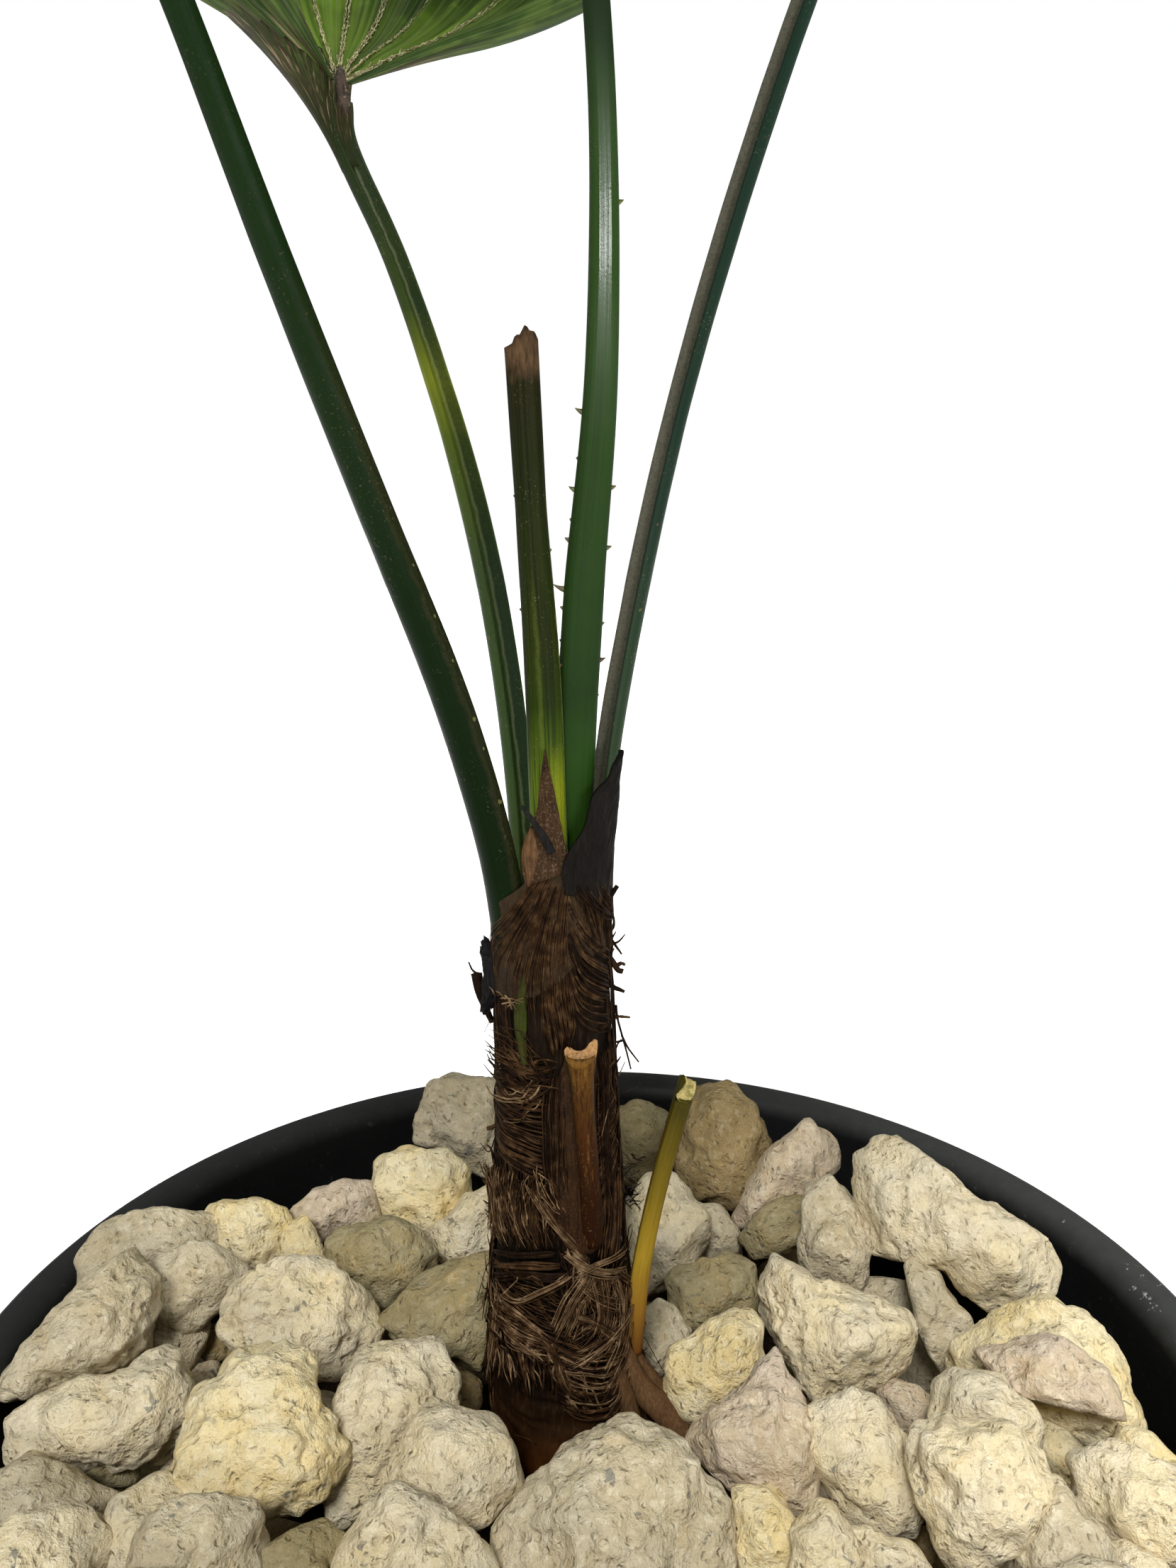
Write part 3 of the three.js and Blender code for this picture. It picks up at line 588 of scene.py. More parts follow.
    ("cream", 146.5, 5, 0.9, [[(1138, 2032), (1148, 1997), (1204, 1961), (1242, 1970), (1272, 2014), (1286, 2070), (1292, 2112), (1280, 2150), (1236, 2157), (1188, 2138), (1152, 2087)]]),
    ("pink", 142, 4, 0.95, [[(1222, 1968), (1260, 1950), (1292, 1956), (1333, 1986), (1324, 2012), (1300, 2034), (1280, 2048), (1255, 2000)]]),
    ("yellow", 143, 4, 0.95, [[(1458, 2022), (1480, 2008), (1512, 2028), (1533, 2060), (1522, 2098), (1480, 2104), (1470, 2062)]]),
    ("cream", 148.5, 5, 0.9, [[(1520, 2064), (1570, 2038), (1614, 2052), (1664, 2078), (1686, 2110), (1676, 2162), (1644, 2188), (1592, 2184), (1555, 2164), (1528, 2122)]]),
    ("yellow", 146, 4, 0.9, [[(1564, 2048), (1590, 2020), (1630, 2028), (1662, 2062), (1652, 2084), (1600, 2070)]]),
    ("grey", 147, 5, 0.9, [[(1434, 2136), (1466, 2099), (1510, 2102), (1543, 2128), (1558, 2170), (1568, 2212), (1542, 2266), (1440, 2256), (1414, 2202)]]),
    ("cream", 146, 5, 0.9, [[(1118, 2154), (1150, 2133), (1182, 2133), (1203, 2160), (1219, 2202), (1204, 2256), (1150, 2270), (1116, 2245)]]),
    ("cream", 145, 5, 0.9, [[(1190, 2164), (1230, 2158), (1292, 2188), (1314, 2216), (1292, 2256), (1210, 2248)]]),
    ("yellow", 143.5, 5, 0.9, [[(1040, 2108), (1062, 2103), (1092, 2103), (1118, 2130), (1127, 2152), (1116, 2205), (1090, 2240), (1046, 2226), (1036, 2160)]]),
    ("cream", 145, 4, 0.9, [[(1556, 2190), (1600, 2181), (1642, 2204), (1654, 2242), (1610, 2262), (1566, 2244)]]),
    ("brown", 136, 4, 1.0, [[(1292, 2184), (1309, 2163), (1323, 2186), (1310, 2206)]]),
]

# olive and brown are darker, duller copies of the pumice colour: painted shade for stones in shadow between and under
# the others
TINTS = {
    "cream": (lin(226, 213, 183), lin(232, 215, 174), 0.26),
    "yellow": (lin(238, 223, 182), lin(240, 217, 158), 0.36),
    "pink": (lin(208, 190, 167), lin(210, 190, 158), 0.20),
    "grey": (lin(210, 197, 168), lin(203, 188, 154), 0.26),
    "shaded_olive": (lin(168, 156, 120), lin(158, 143, 102), 0.30),
    "brown": (lin(160, 139, 97), lin(140, 120, 80), 0.30),
}
stone_bags = {k: Bag() for k in TINTS}
placed = []          # centre and half-size of each stone so far


def wall_room(x, y, z):
    """Distance from a point to the pot's inner face, which rises to the lip."""
    return (inner_r(min(z, 138)) if z < 143 else 82.6) - math.hypot(x, y)


def shown_stone(k, tint, z, level, thick, lobes):
    rnd = np.random.RandomState(500 + k)
    px = np.mean([np.mean(l, axis=0) for l in lobes], axis=0)
    p, t = at_height(px[0], px[1], z)
    span = max(np.ptp([c[0] for l in lobes for c in l]), np.ptp([c[1] for l in lobes for c in l]))
    low = min(np.ptp([c[0] for l in lobes for c in l]), np.ptp([c[1] for l in lobes for c in l]))
    half = 0.5 * math.sqrt(span * low) * t / FOCAL
    # nearer the viewer, and so higher, where the wall leaves no room
    for _ in range(60):
        if wall_room(p[0], p[1], p[2]) >= 0.80 * half or z > 155:
            break
        z += 0.25
        p, t = at_height(px[0], px[1], z)
    half = 0.5 * math.sqrt(span * low) * t / FOCAL
    e_f = (p - CAM) / np.linalg.norm(p - CAM)
    e_r = RIGHT - e_f * (RIGHT @ e_f)
    e_r /= np.linalg.norm(e_r)
    e_u = np.cross(e_r, e_f)
    c = half * thick
    bodies = []
    for corners in lobes:
        q = (np.array(corners, float) - px) * (t / FOCAL) * (1, -1)
        if np.sum(q[:, 0] * np.roll(q[:, 1], -1) - q[:, 1] * np.roll(q[:, 0], -1)) < 0:
            q = q[::-1]
        planes = []
        for a, b in zip(q, np.roll(q, -1, axis=0)):
            n = np.array([b[1] - a[1], a[0] - b[0]])
            n /= np.linalg.norm(n)
            d = max(n @ a, 0.15 * half) * 1.035
            if half > 11:
                d = d / (1 + 0.8 * c / t) - 0.55
            flat = n[0] * e_r + n[1] * e_u
            planes.append((flat, d))
            for side in (-1, 1):
                beta = math.radians(rnd.uniform(28, 58)) * side
                m = flat * math.cos(beta) + e_f * math.sin(beta)
                planes.append((m, math.hypot(d * math.cos(beta), c * math.sin(beta)) * rnd.uniform(0.90, 1.04)))
        for side in (-1, 1):
            for _ in range(2):
                w = rnd.normal(size=2) * 0.28
                m = side * e_f + w[0] * e_r + w[1] * e_u
                m /= np.linalg.norm(m)
                planes.append((m, c * rnd.uniform(0.88, 1.0)))
        bodies.append(planes)
    dirs, faces = ico(level)
    r = chipped(dirs, soft_hull(dirs, bodies[0], 26), e_f, rnd, 12 if half > 10 else 8, 0.80 if half > 10 else 0.85)
    for other in bodies[1:]:
        r2 = chipped(dirs, soft_hull(dirs, other, 26), e_f, rnd, 9, 0.82)
        w = 2.2
        r = np.logaddexp(r * w, r2 * w) / w - 0.15
    r = roughen(dirs, r, 2 * half, 40 + k, level)
    stone_bags[tint].add(p + dirs * r[:, None], tris=faces)
    placed.append((p, half, r.max()))
    return p, half


for k, row in enumerate(SHOWN):
    shown_stone(k, *row)
SHOWN_COUNT = len(placed)


def loose_stone(k, p, half, tint, level):
    rnd = np.random.RandomState(3000 + k)
    ax = half * np.array([rnd.uniform(1.0, 1.25), rnd.uniform(0.85, 1.05), rnd.uniform(0.72, 0.9)])
    yaw = rnd.uniform(0, math.pi)
    tip = rnd.normal(size=2) * 0.25
    rot = np.array(Matrix.Rotation(yaw, 3, "Z") @ Matrix.Rotation(tip[0], 3, "X") @ Matrix.Rotation(tip[1], 3, "Y"))
    planes = []
    for _ in range(17):
        n = rnd.normal(size=3)
        n /= np.linalg.norm(n)
        planes.append((rot @ n, np.linalg.norm(n * ax) * rnd.uniform(0.78, 1.0)))
    for n in np.vstack([np.eye(3), -np.eye(3)]):
        planes.append((rot @ n, np.linalg.norm(n * ax)))
    dirs, faces = ico(level)
    r = roughen(dirs, chipped(dirs, soft_hull(dirs, planes, 16), None, rnd, 6, 0.82), 2 * half, 300 + k, level)
    stone_bags[tint].add(p + dirs * r[:, None], tris=faces)
    placed.append((np.array(p, float), half, r.max()))


# the rest of the top layer, where the photograph doesn't reach
rnd = np.random.RandomState(77)
TRUNK_SPOT = np.array([-4.5, 0.0])
loose = []
for size in (13.0, 11.8, 10.6, 9.4, 8.2, 7.0):
    for _ in range(2600):
        a, rr = rnd.uniform(0, 2 * math.pi), 82 * math.sqrt(rnd.rand())
        half = size * rnd.uniform(0.94, 1.06)
        z = 146.5 + rnd.uniform(-2.2, 2.0) - 0.12 * (half - 9)
        p = np.array([rr * math.cos(a), rr * math.sin(a), z])
        if 82.4 - rr < 0.93 * half or np.linalg.norm(p[:2] - TRUNK_SPOT) < 15.5 + 0.8 * half:
            continue
        top_px = project(p + (0, 0.6 * half, 0.75 * half))[0]
        side = project([p - RIGHT * half, p + RIGHT * half])
        hidden = top_px[1] > 2225 or side[0][0] > 1672 or side[1][0] < -12
        if not hidden:
            continue
        if all(np.linalg.norm((p - q)[:2]) > 0.84 * (half + h) for q, h, _ in placed + loose):
            loose.append((p, half, half))
names = ["cream", "cream", "cream", "yellow", "grey", "grey", "pink", "yellow", "shaded_olive"]
for k, (p, half, _) in enumerate(loose):
    loose_stone(k, p, half, names[rnd.randint(len(names))], 5 if k % 2 == 0 else 4)

# a lower layer under them, in grey and the painted-shade olive and brown tints
for k, (p, half, _) in enumerate(list(placed)):
    if half < 6.5:
        continue
    h = min(half, 9.5) * rnd.uniform(0.85, 1.0)
    q = np.array([p[0] + rnd.uniform(-2.5, 2.5), p[1] + rnd.uniform(-2.5, 2.5), 118.6 + 0.8 * h])
    lim = inner_r(q[2]) - 1.12 * h
    rr = math.hypot(q[0], q[1])
    if rr > lim:
        q[:2] *= lim / rr
    away = q[:2] - TRUNK_SPOT
    if np.linalg.norm(away) < 19 + 1.0 * h:
        continue
    loose_stone(200 + k, q, h, ["grey", "shaded_olive", "brown"][k % 3], 3)

for tint, bag in stone_bags.items():
    base, warm, stain = TINTS[tint]
    o = bag.build("pumice_" + tint, [pumice_material("pumice_" + tint, base, warm, stain)])
    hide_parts("pumice_topdressing")
    print("pumice", tint, bag.count())

# ------------------------------------------------------------------ leaf stalks
def curve(pts, t):
    """Points and directions at each t on the smooth curve that runs through the points."""
    c = np.asarray(pts, float)
    e = np.vstack([2 * c[0] - c[1], c, 2 * c[-1] - c[-2]])
    u = np.asarray(t, float) * (len(c) - 1)
    i = np.minimum(u.astype(int), len(c) - 2)
    f = (u - i)[:, None]
    p0, p1, p2, p3 = e[i], e[i + 1], e[i + 2], e[i + 3]
    b, c2, c3 = p2 - p0, 2 * p0 - 5 * p1 + 4 * p2 - p3, 3 * p1 - p0 - 3 * p2 + p3
    d = 0.5 * (b + 2 * c2 * f + 3 * c3 * f * f)
    return 0.5 * (2 * p1 + b * f + c2 * f * f + c3 * f**3), d / np.linalg.norm(d, axis=1)[:, None]


def spread(values, t):
    return np.interp(t, np.linspace(0, 1, len(values)), values)


def stalk_frame(pts, lean, t):
    """Point, direction, sideways and inward unit vectors of a stalk at each t."""
    at, along = curve(pts, t)
    across = np.array([-math.sin(math.radians(lean)), math.cos(math.radians(lean)), 0.0])
    wide = across - along * (along @ across)[:, None]
    wide /= np.linalg.norm(wide, axis=1)[:, None]
    return at, along, wide, np.cross(along, wide)


def section(n, keel, channel, back=0.62, flat=0.0):
    """Cross-section of a stalk in half-widths and depths: round outside, with two margins and a channel inside."""
    a = np.linspace(0, math.pi, n, endpoint=False)
    out = np.stack([np.cos(a), -back * (np.sin(a) ** 0.9 * (1 - flat) + np.sqrt(1 - np.cos(a) ** 4) * flat)], -1)
    x = np.linspace(-1, 1, n, endpoint=False)
    rim = keel * np.clip((1 - np.abs(x)) / 0.16, 0, 1) ** 0.6
    dip = channel * np.clip(1 - np.abs(x) / 0.80, 0, 1) ** 0.75
    return np.concatenate([out, np.stack([x, rim - dip], -1)])


def loft(rings, closed_uv=True):
    """Quads over rings of points (rows, ring, 3), with a fan over each end, and UVs: u round, v along."""
    rows, n, _ = rings.shape
    idx = np.arange(rows * n).reshape(rows, n)
    a = idx[:-1]
    b = np.roll(idx, -1, axis=1)[:-1]
    c = np.roll(idx, -1, axis=1)[1:]
    d = idx[1:]
    quads = np.stack([a, b, c, d], -1).reshape(-1, 4)
    verts = rings.reshape(-1, 3)
    ends = np.array([rings[0].mean(0), rings[-1].mean(0)])
    lo, hi = rows * n, rows * n + 1
    ring = np.arange(n)
    tris = np.concatenate([np.stack([np.full(n, lo), np.roll(ring, -1), ring], -1),
                           np.stack([np.full(n, hi), idx[-1], np.roll(idx[-1], -1)], -1)])
    uu = np.arange(n) / n
    vv = np.arange(rows) / (rows - 1)
    u0 = np.broadcast_to(uu, (rows - 1, n))
    u1 = u0 + 1.0 / n
    v0 = np.broadcast_to(vv[:-1, None], (rows - 1, n))
    v1 = np.broadcast_to(vv[1:, None], (rows - 1, n))
    uvq = np.stack([np.stack([u0, v0], -1), np.stack([u1, v0], -1), np.stack([u1, v1], -1), np.stack([u0, v1], -1)], 2).reshape(-1, 2)
    uvt = np.zeros((2 * n, 3, 2))
    uvt[:n, :, 0] = uu[:, None]
    uvt[n:, :, 0] = uu[:, None]
    uvt[:n, :, 1] = 0.001
    uvt[n:, :, 1] = 0.999
    return np.vstack([verts, ends]), quads, tris, np.vstack([uvq, uvt.reshape(-1, 2)])


def stalk_rings(spec, rows, n, keel, channel, back=0.62, top=None, flutes=0.0, ribs=15.0, grow=1.0, seed=1, start=0.0, end=1.0, flat=0.0):
    t = np.linspace(start, end, rows)
    at, along, wide, deep = stalk_frame(spec["pts"], spec["lean"], t)
    sec = section(n, keel, channel, back, flat)
    w = spread(spec["w"], t) / 2 * grow
    d = spread(spec["d"], t) * 0.86 * grow
    x = sec[None, :, 0] * w[:, None]
    y = sec[None, :, 1] * d[:, None]
    if flutes:
        y = y + flutes * np.cos(sec[None, :, 0] * ribs + 0.6) * (1 - np.abs(sec[None, :, 0]) ** 4)
    rings = at[:, None] + x[..., None] * wide[:, None] + y[..., None] * deep[:, None]
    q = rings.reshape(-1, 3)
    wob = 0.05 * noise(q / (3.5, 3.5, 14.0), seed).reshape(rows, -1)
    rings += (rings - at[:, None]) * wob[..., None] * 0.5
    if top is not None:
        rings[-1] += along[-1] * top(sec[:, 0], sec[:, 1])[:, None]
        rings[-2] += along[-2] * (top(sec[:, 0], sec[:, 1]) * 0.55)[:, None]
    return rings


STALKS = {
    "petiole_left": dict(pts=[[-10.1, -1.6, 198], [-12.05, -3.8, 220], [-17.25, -9.2, 243], [-25.35, -15.2, 267], [-33.5, -20.6, 291], [-40.55, -25.3, 313], [-48.5, -29.8, 336], [-56.95, -34.5, 360], [-65.55, -39, 384]],
        w=[5.6, 5.75, 5.75, 5.0, 4.4, 3.7, 3.6, 3.6, 3.6], d=[5.0, 5.0, 4.8, 4.2, 3.8, 3.4, 3.2, 3.2, 3.1], lean=212),
    "petiole_back_left": dict(pts=[[-9.9, 3.4, 206], [-10.5, 7, 222], [-12.2, 10.6, 238], [-14.8, 14.5, 254], [-18.5, 18.2, 270], [-23.4, 22.1, 286], [-29.4, 26.1, 302.5], [-36.6, 29.9, 318], [-37.9, 31.4, 324.4]],
        w=[4, 3.9, 3.85, 4, 3.9, 3.65, 3.4, 3.6, 4.2], d=[3.6, 3.5, 3.5, 3.5, 3.4, 3.2, 3.1, 3.2, 3.6], lean=131),
    "petiole_centre": dict(pts=[[-3.7, 0.6, 204], [-3.4, -1.6, 230.5], [-2.1, -4, 256], [0, -6.6, 282.5], [0, -9.3, 309], [-2, -12.1, 335], [-3.7, -14.7, 361], [-4.8, -17.1, 386], [-5.4, -19.2, 411], [-5.6, -21, 436]],
        w=[5.3, 5.3, 5.15, 3.95, 3.2, 2.9, 2.9, 2.9, 2.9, 3], d=[3.4, 3.4, 3.2, 2.8, 2.6, 2.5, 2.5, 2.5, 2.5, 2.6], lean=280),
    "petiole_right": dict(pts=[[-0.6, 4.8, 206], [0.7, 9.3, 231], [4.9, 13.7, 256], [10.5, 18.4, 281], [17.6, 23.2, 306], [25.8, 28, 331], [34.8, 32.9, 355], [44.6, 37.6, 379], [55, 42, 402]],
        w=[3.6, 3.55, 3.65, 3.55, 3.75, 3.75, 3.7, 3.6, 3.6], d=[3.2, 3.2, 3.2, 3.1, 3.2, 3.2, 3.2, 3.2, 3.2], lean=38),
    "cut_petiole_tall": dict(pts=[[-5.5, -4.7, 208], [-6.5, -4.7, 226], [-7.2, -4.7, 246], [-8.55, -4.7, 267], [-9.7, -4.7, 287.5]],
        w=[4.7, 4.7, 4.6, 3.85, 4.1], d=[3.6, 3.5, 3.3, 3.1, 3.1], lean=270),
    "cut_stub_front": dict(pts=[[-1.0, -7.2, 170], [-1.2, -8.7, 180], [-1.9, -9.2, 190], [-2.3, -9.7, 199]],
        w=[4.2, 3.6, 3.4, 4.4], d=[3.4, 3.2, 3, 3.2], lean=275),
    "cut_stub_right": dict(pts=[[4.4, -1.6, 149], [5.9, -1.6, 163], [8.4, -1.3, 176], [11.8, -0.8, 189.5]],
        w=[4.2, 3.5, 3.7, 4], d=[3.6, 3.1, 3, 3], lean=355),
}


def stalk_material(name, stops, inner=None, scurf=0.3, band=None, gloss=0.42, spec=0.32, shine=None, tip=None, lines=0.35, dashes=None):
    """stops: colours along the stalk. inner: tint of the channel face. band: (u0, u1, colour, v range) of felted scurf."""
    s = Shader(name, Specular_IOR_Level=spec)
    uv = s.uv()
    sep = s.t.nodes.new("ShaderNodeSeparateXYZ")
    s.t.links.new(uv, sep.inputs[0])
    u, v = sep.outputs[0], sep.outputs[1]
    mm = s.object_mm()
    drift = s.math("MULTIPLY", s.math("SUBTRACT", s.noise(mm, 14, 2), 0.5), 0.10)
    col = s.ramp(s.math("ADD", v, drift), stops)
    streak = s.noise(s.uv((60, 2.2, 1)), 1.0, 2, 0.6)
    col = s.mix(s.math("MULTIPLY", s.step(streak, 0.42, 0.72), 0.35), col, s.mix(1.0, col, lin(196, 205, 150), "MULTIPLY"))
    col = s.mix(s.math("MULTIPLY", s.step(s.noise(s.uv((34, 5, 1)), 1.0, 2), 0.55, 0.72), lines), col, lin(18, 30, 16))
    if lines > 0.35:
        col = s.mix(s.math("MULTIPLY", s.step(s.noise(s.uv((58, 3, 1)), 1.0, 2, 0.6), 0.52, 0.60), lines), col, lin(20, 24, 9))
    if inner is not None:
        side = s.step(u, 0.49, 0.52)
        col = s.mix(s.math("MULTIPLY", side, inner[1]), col, inner[0])
    rough = gloss
    if band is not None:
        for u0, u1, bcol, v0, v1, amount in band:
            wav = s.math("ADD", u, s.math("MULTIPLY", s.math("SUBTRACT", s.noise(mm, 2.2, 3), 0.5), 0.06))
            m = s.math("MULTIPLY", s.step(wav, u0 - 0.015, u0 + 0.015), s.step(wav, u1 + 0.015, u1 - 0.015))
            vv = s.math("MULTIPLY", s.step(v, v0 - 0.06, v0 + 0.02), s.step(v, v1 + 0.06, v1 - 0.02))
            m = s.math("MULTIPLY", s.math("MULTIPLY", m, vv), amount)
            grains = s.step(s.noise(mm, 0.35, 3, 0.7), 0.35, 0.60, 0.55, 1.0)
            col = s.mix(s.math("MULTIPLY", m, grains), col, bcol)
    fleck = s.step(s.noise(mm, 0.30, 2, 0.6), 0.63, 0.70)
    patch = s.step(s.noise(mm, 5.0, 2, 0.6), 0.46, 0.66)
    fl_ = s.math("MULTIPLY", s.math("MULTIPLY", fleck, patch), scurf)
    col = s.mix(fl_, col, lin(150, 138, 104))
    if dashes is not None:
        cut = s.noise(s.object_mm((1, 1, 0.16)), 0.34, 3, 0.65)
        col = s.mix(s.math("MULTIPLY", s.step(cut, 0.50, 0.58), dashes[1]), col, dashes[0])
        col = s.mix(s.math("MULTIPLY", s.step(s.noise(s.object_mm((1, 1, 0.3)), 0.5, 2), 0.60, 0.68), 0.16), col, lin(150, 108, 56))
    if tip is not None:
        t0, tcol = tip
        m = s.step(s.math("ADD", v, s.math("MULTIPLY", s.math("SUBTRACT", s.noise(mm, 2.4, 3), 0.5), 0.06)), t0, t0 + 0.03)
        grain = s.noise(s.object_mm((1, 1, 0.25)), 0.5, 3, 0.7)
        col = s.mix(m, col, s.mix(s.step(grain, 0.3, 0.7), lin(52, 40, 27), tcol))
    r = s.math("ADD", s.math("MULTIPLY", fl_, 0.3), s.step(s.noise(mm, 3.0, 2), 0.3, 0.7, gloss - min(0.05, 0.3 * gloss), gloss + min(0.07, 0.3 * gloss)))
    if shine is not None:          # waxed and smooth between two places, duller beyond them
        smooth = s.math("MULTIPLY", s.step(v, shine[0] - 0.05, shine[0] + 0.03), s.step(v, shine[1] + 0.05, shine[1] - 0.03))
        r = s.math("ADD", r, s.math("MULTIPLY", s.math("SUBTRACT", 1.0, smooth), 0.60))
    h = s.math("ADD", s.math("MULTIPLY", streak, 0.5), s.math("MULTIPLY", s.noise(mm, 0.45, 2), 0.35 if shine is None else 0.08))
    h = s.math("ADD", h, s.math("MULTIPLY", fl_, 1.2))
    return s.done(col, r, s.bump(h, 0.10, 0.7))


thorns = Bag()


def thorn(root, out, up, length, width):
    """A small hooked spine on a margin."""
    rows, n = 6, 7
    t = np.linspace(0, 1, rows)
    side = np.cross(out, up)
    a = np.arange(n) / n * 2 * math.pi
    rings = np.zeros((rows, n, 3))
    for i, k in enumerate(t):
        c = root + out * (length * k - 0.35) + up * (length * 0.35 * k * k)
        r = width * (1 - k) ** 0.8 + 0.03
        rings[i] = c + r * (np.cos(a)[:, None] * up * 1.25 + np.sin(a)[:, None] * side * 0.75)
    v, q, tr, _ = loft(rings)
    thorns.add(v, q, tr)


def add_thorns(name, list_, size=0.85):
    """list_: photo row, margin (+1 or -1 of the sideways vector) and length of each spine."""
    sp = STALKS[name]
    t = np.linspace(0, 1, 400)
    at, along, wide, deep = stalk_frame(sp["pts"], sp["lean"], t)
    rowsy = project(at)[:, 1]
    for y, m, ln in list_:
        i = int(np.argmin(np.abs(rowsy - y)))
        w = spread(sp["w"], t[i]) / 2
        thorn(at[i] + wide[i] * m * w + deep[i] * 0.12, wide[i] * m, along[i], ln * size, 0.42 * size)


def ragged(x, y):
    """Torn end of the tall cut stalk: a spike at one side, a shoulder at the other."""
    return 2.4 * np.clip(1 - np.abs(x - 0.4) / 1.2, 0, 1) - 2.3 + 0.22 * np.sin(11 * x + 3 * y)


stalk_looks = {
    "petiole_left": dict(start=0.045, n=18, rows=90, keel=0.22, channel=0.10, back=0.74),
    "petiole_back_left": dict(n=18, rows=80, keel=0.42, channel=0.50, back=0.62),
    "petiole_centre": dict(n=44, rows=90, keel=0.25, channel=0.15, back=0.60, flutes=0.014, ribs=8.5, flat=1.0),
    "petiole_right": dict(n=18, rows=90, keel=0.40, channel=0.48, back=0.62),
    "cut_petiole_tall": dict(n=20, rows=60, keel=0.30, channel=0.26, back=0.66, flutes=0.13, top=ragged),
}
STALK_MATS = {
    "petiole_left": stalk_material("petiole_left", [(0.0, lin(7, 23, 1)), (0.10, lin(6, 22, 1)), (0.25, lin(7, 25, 2)), (0.5, lin(22, 40, 15)), (1.0, lin(24, 41, 21))],
                                   scurf=0.22, band=[(0.0, 0.028, lin(54, 47, 30), 0.0, 0.42, 0.55), (0.972, 1.0, lin(54, 47, 30), 0.0, 0.42, 0.55)], gloss=0.40, spec=0.05),
    "petiole_back_left": stalk_material("petiole_back_left", [(0.0, lin(66, 86, 24)), (0.2, lin(42, 67, 28)), (0.42, lin(52, 70, 36)), (0.55, lin(82, 96, 24)), (0.61, lin(120, 128, 30)), (0.69, lin(52, 66, 26)), (0.80, lin(34, 45, 24)), (0.92, lin(30, 38, 22)), (1.0, lin(52, 48, 32))],
                                        inner=(lin(58, 76, 34), 0.16), scurf=0.5,
                                        band=[(0.56, 0.70, lin(18, 33, 26), 0.0, 0.72, 0.62), (0.705, 0.735, lin(140, 144, 108), 0.0, 0.98, 0.40), (0.93, 1.0, lin(96, 106, 60), 0.0, 0.5, 0.12)], gloss=0.42, spec=0.14),
    # painted shade: the centre stalk's colours turn much darker above v of about 0.45, where the stalk curves away from
    # the light
    "petiole_centre": stalk_material("petiole_centre", [(0.0, lin(62, 98, 12)), (0.07, lin(36, 70, 4)), (0.16, lin(17, 42, 0)), (0.27, lin(29, 54, 10)), (0.36, lin(44, 68, 28)), (0.43, lin(44, 68, 30)), (0.47, lin(24, 43, 15)), (0.55, lin(15, 31, 8)), (1.0, lin(16, 31, 9))],
                                     scurf=0.08, gloss=0.10, spec=0.17, shine=(0.35, 0.44)),
    "petiole_right": stalk_material("petiole_right", [(0.0, lin(46, 66, 28)), (0.3, lin(24, 46, 32)), (0.7, lin(26, 48, 38)), (1.0, lin(38, 52, 40))],
                                    scurf=0.45, band=[(0.60, 0.97, lin(109, 104, 89), 0.0, 1.0, 0.86), (0.745, 0.765, lin(36, 36, 30), 0.0, 1.0, 0.8)], gloss=0.46, spec=0.16),
    "cut_petiole_tall": stalk_material("cut_petiole_tall", [(0.0, lin(104, 118, 28)), (0.20, lin(112, 130, 34)), (0.30, lin(100, 118, 30)), (0.37, lin(64, 82, 16)), (0.45, lin(36, 50, 6)), (0.58, lin(37, 46, 10)), (0.8, lin(33, 39, 15)), (1.0, lin(42, 34, 18))],
                                       scurf=0.30, band=[(0.0, 0.04, lin(130, 140, 84), 0.0, 0.7, 0.7), (0.06, 0.22, lin(128, 134, 24), 0.0, 0.34, 0.75), (0.26, 0.30, lin(110, 120, 50), 0.0, 0.6, 0.2)], gloss=0.5, spec=0.05, lines=0.72, tip=(0.925, lin(102, 78, 54))),
}
for name, look in stalk_looks.items():
    v, q, tr, uvs = loft(stalk_rings(STALKS[name], **look, seed=len(name)))
    o = mesh_object(name + "_stalk", v, q, tr, [STALK_MATS[name]], None, uvs)
    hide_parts(name)

add_thorns("petiole_centre", [(284, 1, 1.1), (583, -1, 1.4), (612, 1, 0.5), (650, -1, 0.6), (690, 1, 1.1), (692, -1, 1.2), (735, -1, 0.6), (768, -1, 1.0), (770, 1, 1.1), (832, -1, 2.0), (858, -1, 0.8), (880, 1, 0.8), (932, 1, 1.3), (905, -1, 0.6), (980, 1, 0.6)])
add_thorns("petiole_left", [(1012, 1, 1.1), (1050, 1, 0.6), (1124, 1, 1.3), (930, 1, 0.6), (870, 1, 0.7), (985, -1, 0.6), (1080, -1, 0.7), (800, 1, 0.5)])
add_thorns("petiole_back_left", [(700, -1, 0.6), (760, 1, 0.7), (820, -1, 0.7), (900, 1, 0.8), (955, -1, 0.9), (620, 1, 0.5)])
add_thorns("petiole_right", [(690, 1, 0.5), (740, -1, 0.6), (800, 1, 0.8), (860, -1, 0.8), (905, 1, 0.9), (950, 1, 0.9)])
add_thorns("cut_petiole_tall", [(700, -1, 0.6), (780, 1, 0.6), (860, -1, 0.7), (940, 1, 0.7)])
tm = Shader("thorn", Roughness=0.5)
tv = tm.object_mm()
tm = tm.done(tm.mix(tm.step(tm.noise(tv, 1.2, 2), 0.35, 0.65), lin(92, 94, 44), lin(70, 48, 28)), None, tm.bump(tm.noise(tv, 0.3), 0.05, 0.5))
o = thorns.build("thorns", [tm])

# ------------------------------------------------------------------ trunk
def axis_x(z):
    z = np.asarray(z, float)
    return -5.2 - 0.018 * (z - 150) + 2.4 * np.maximum(0, 150 - z) / 32


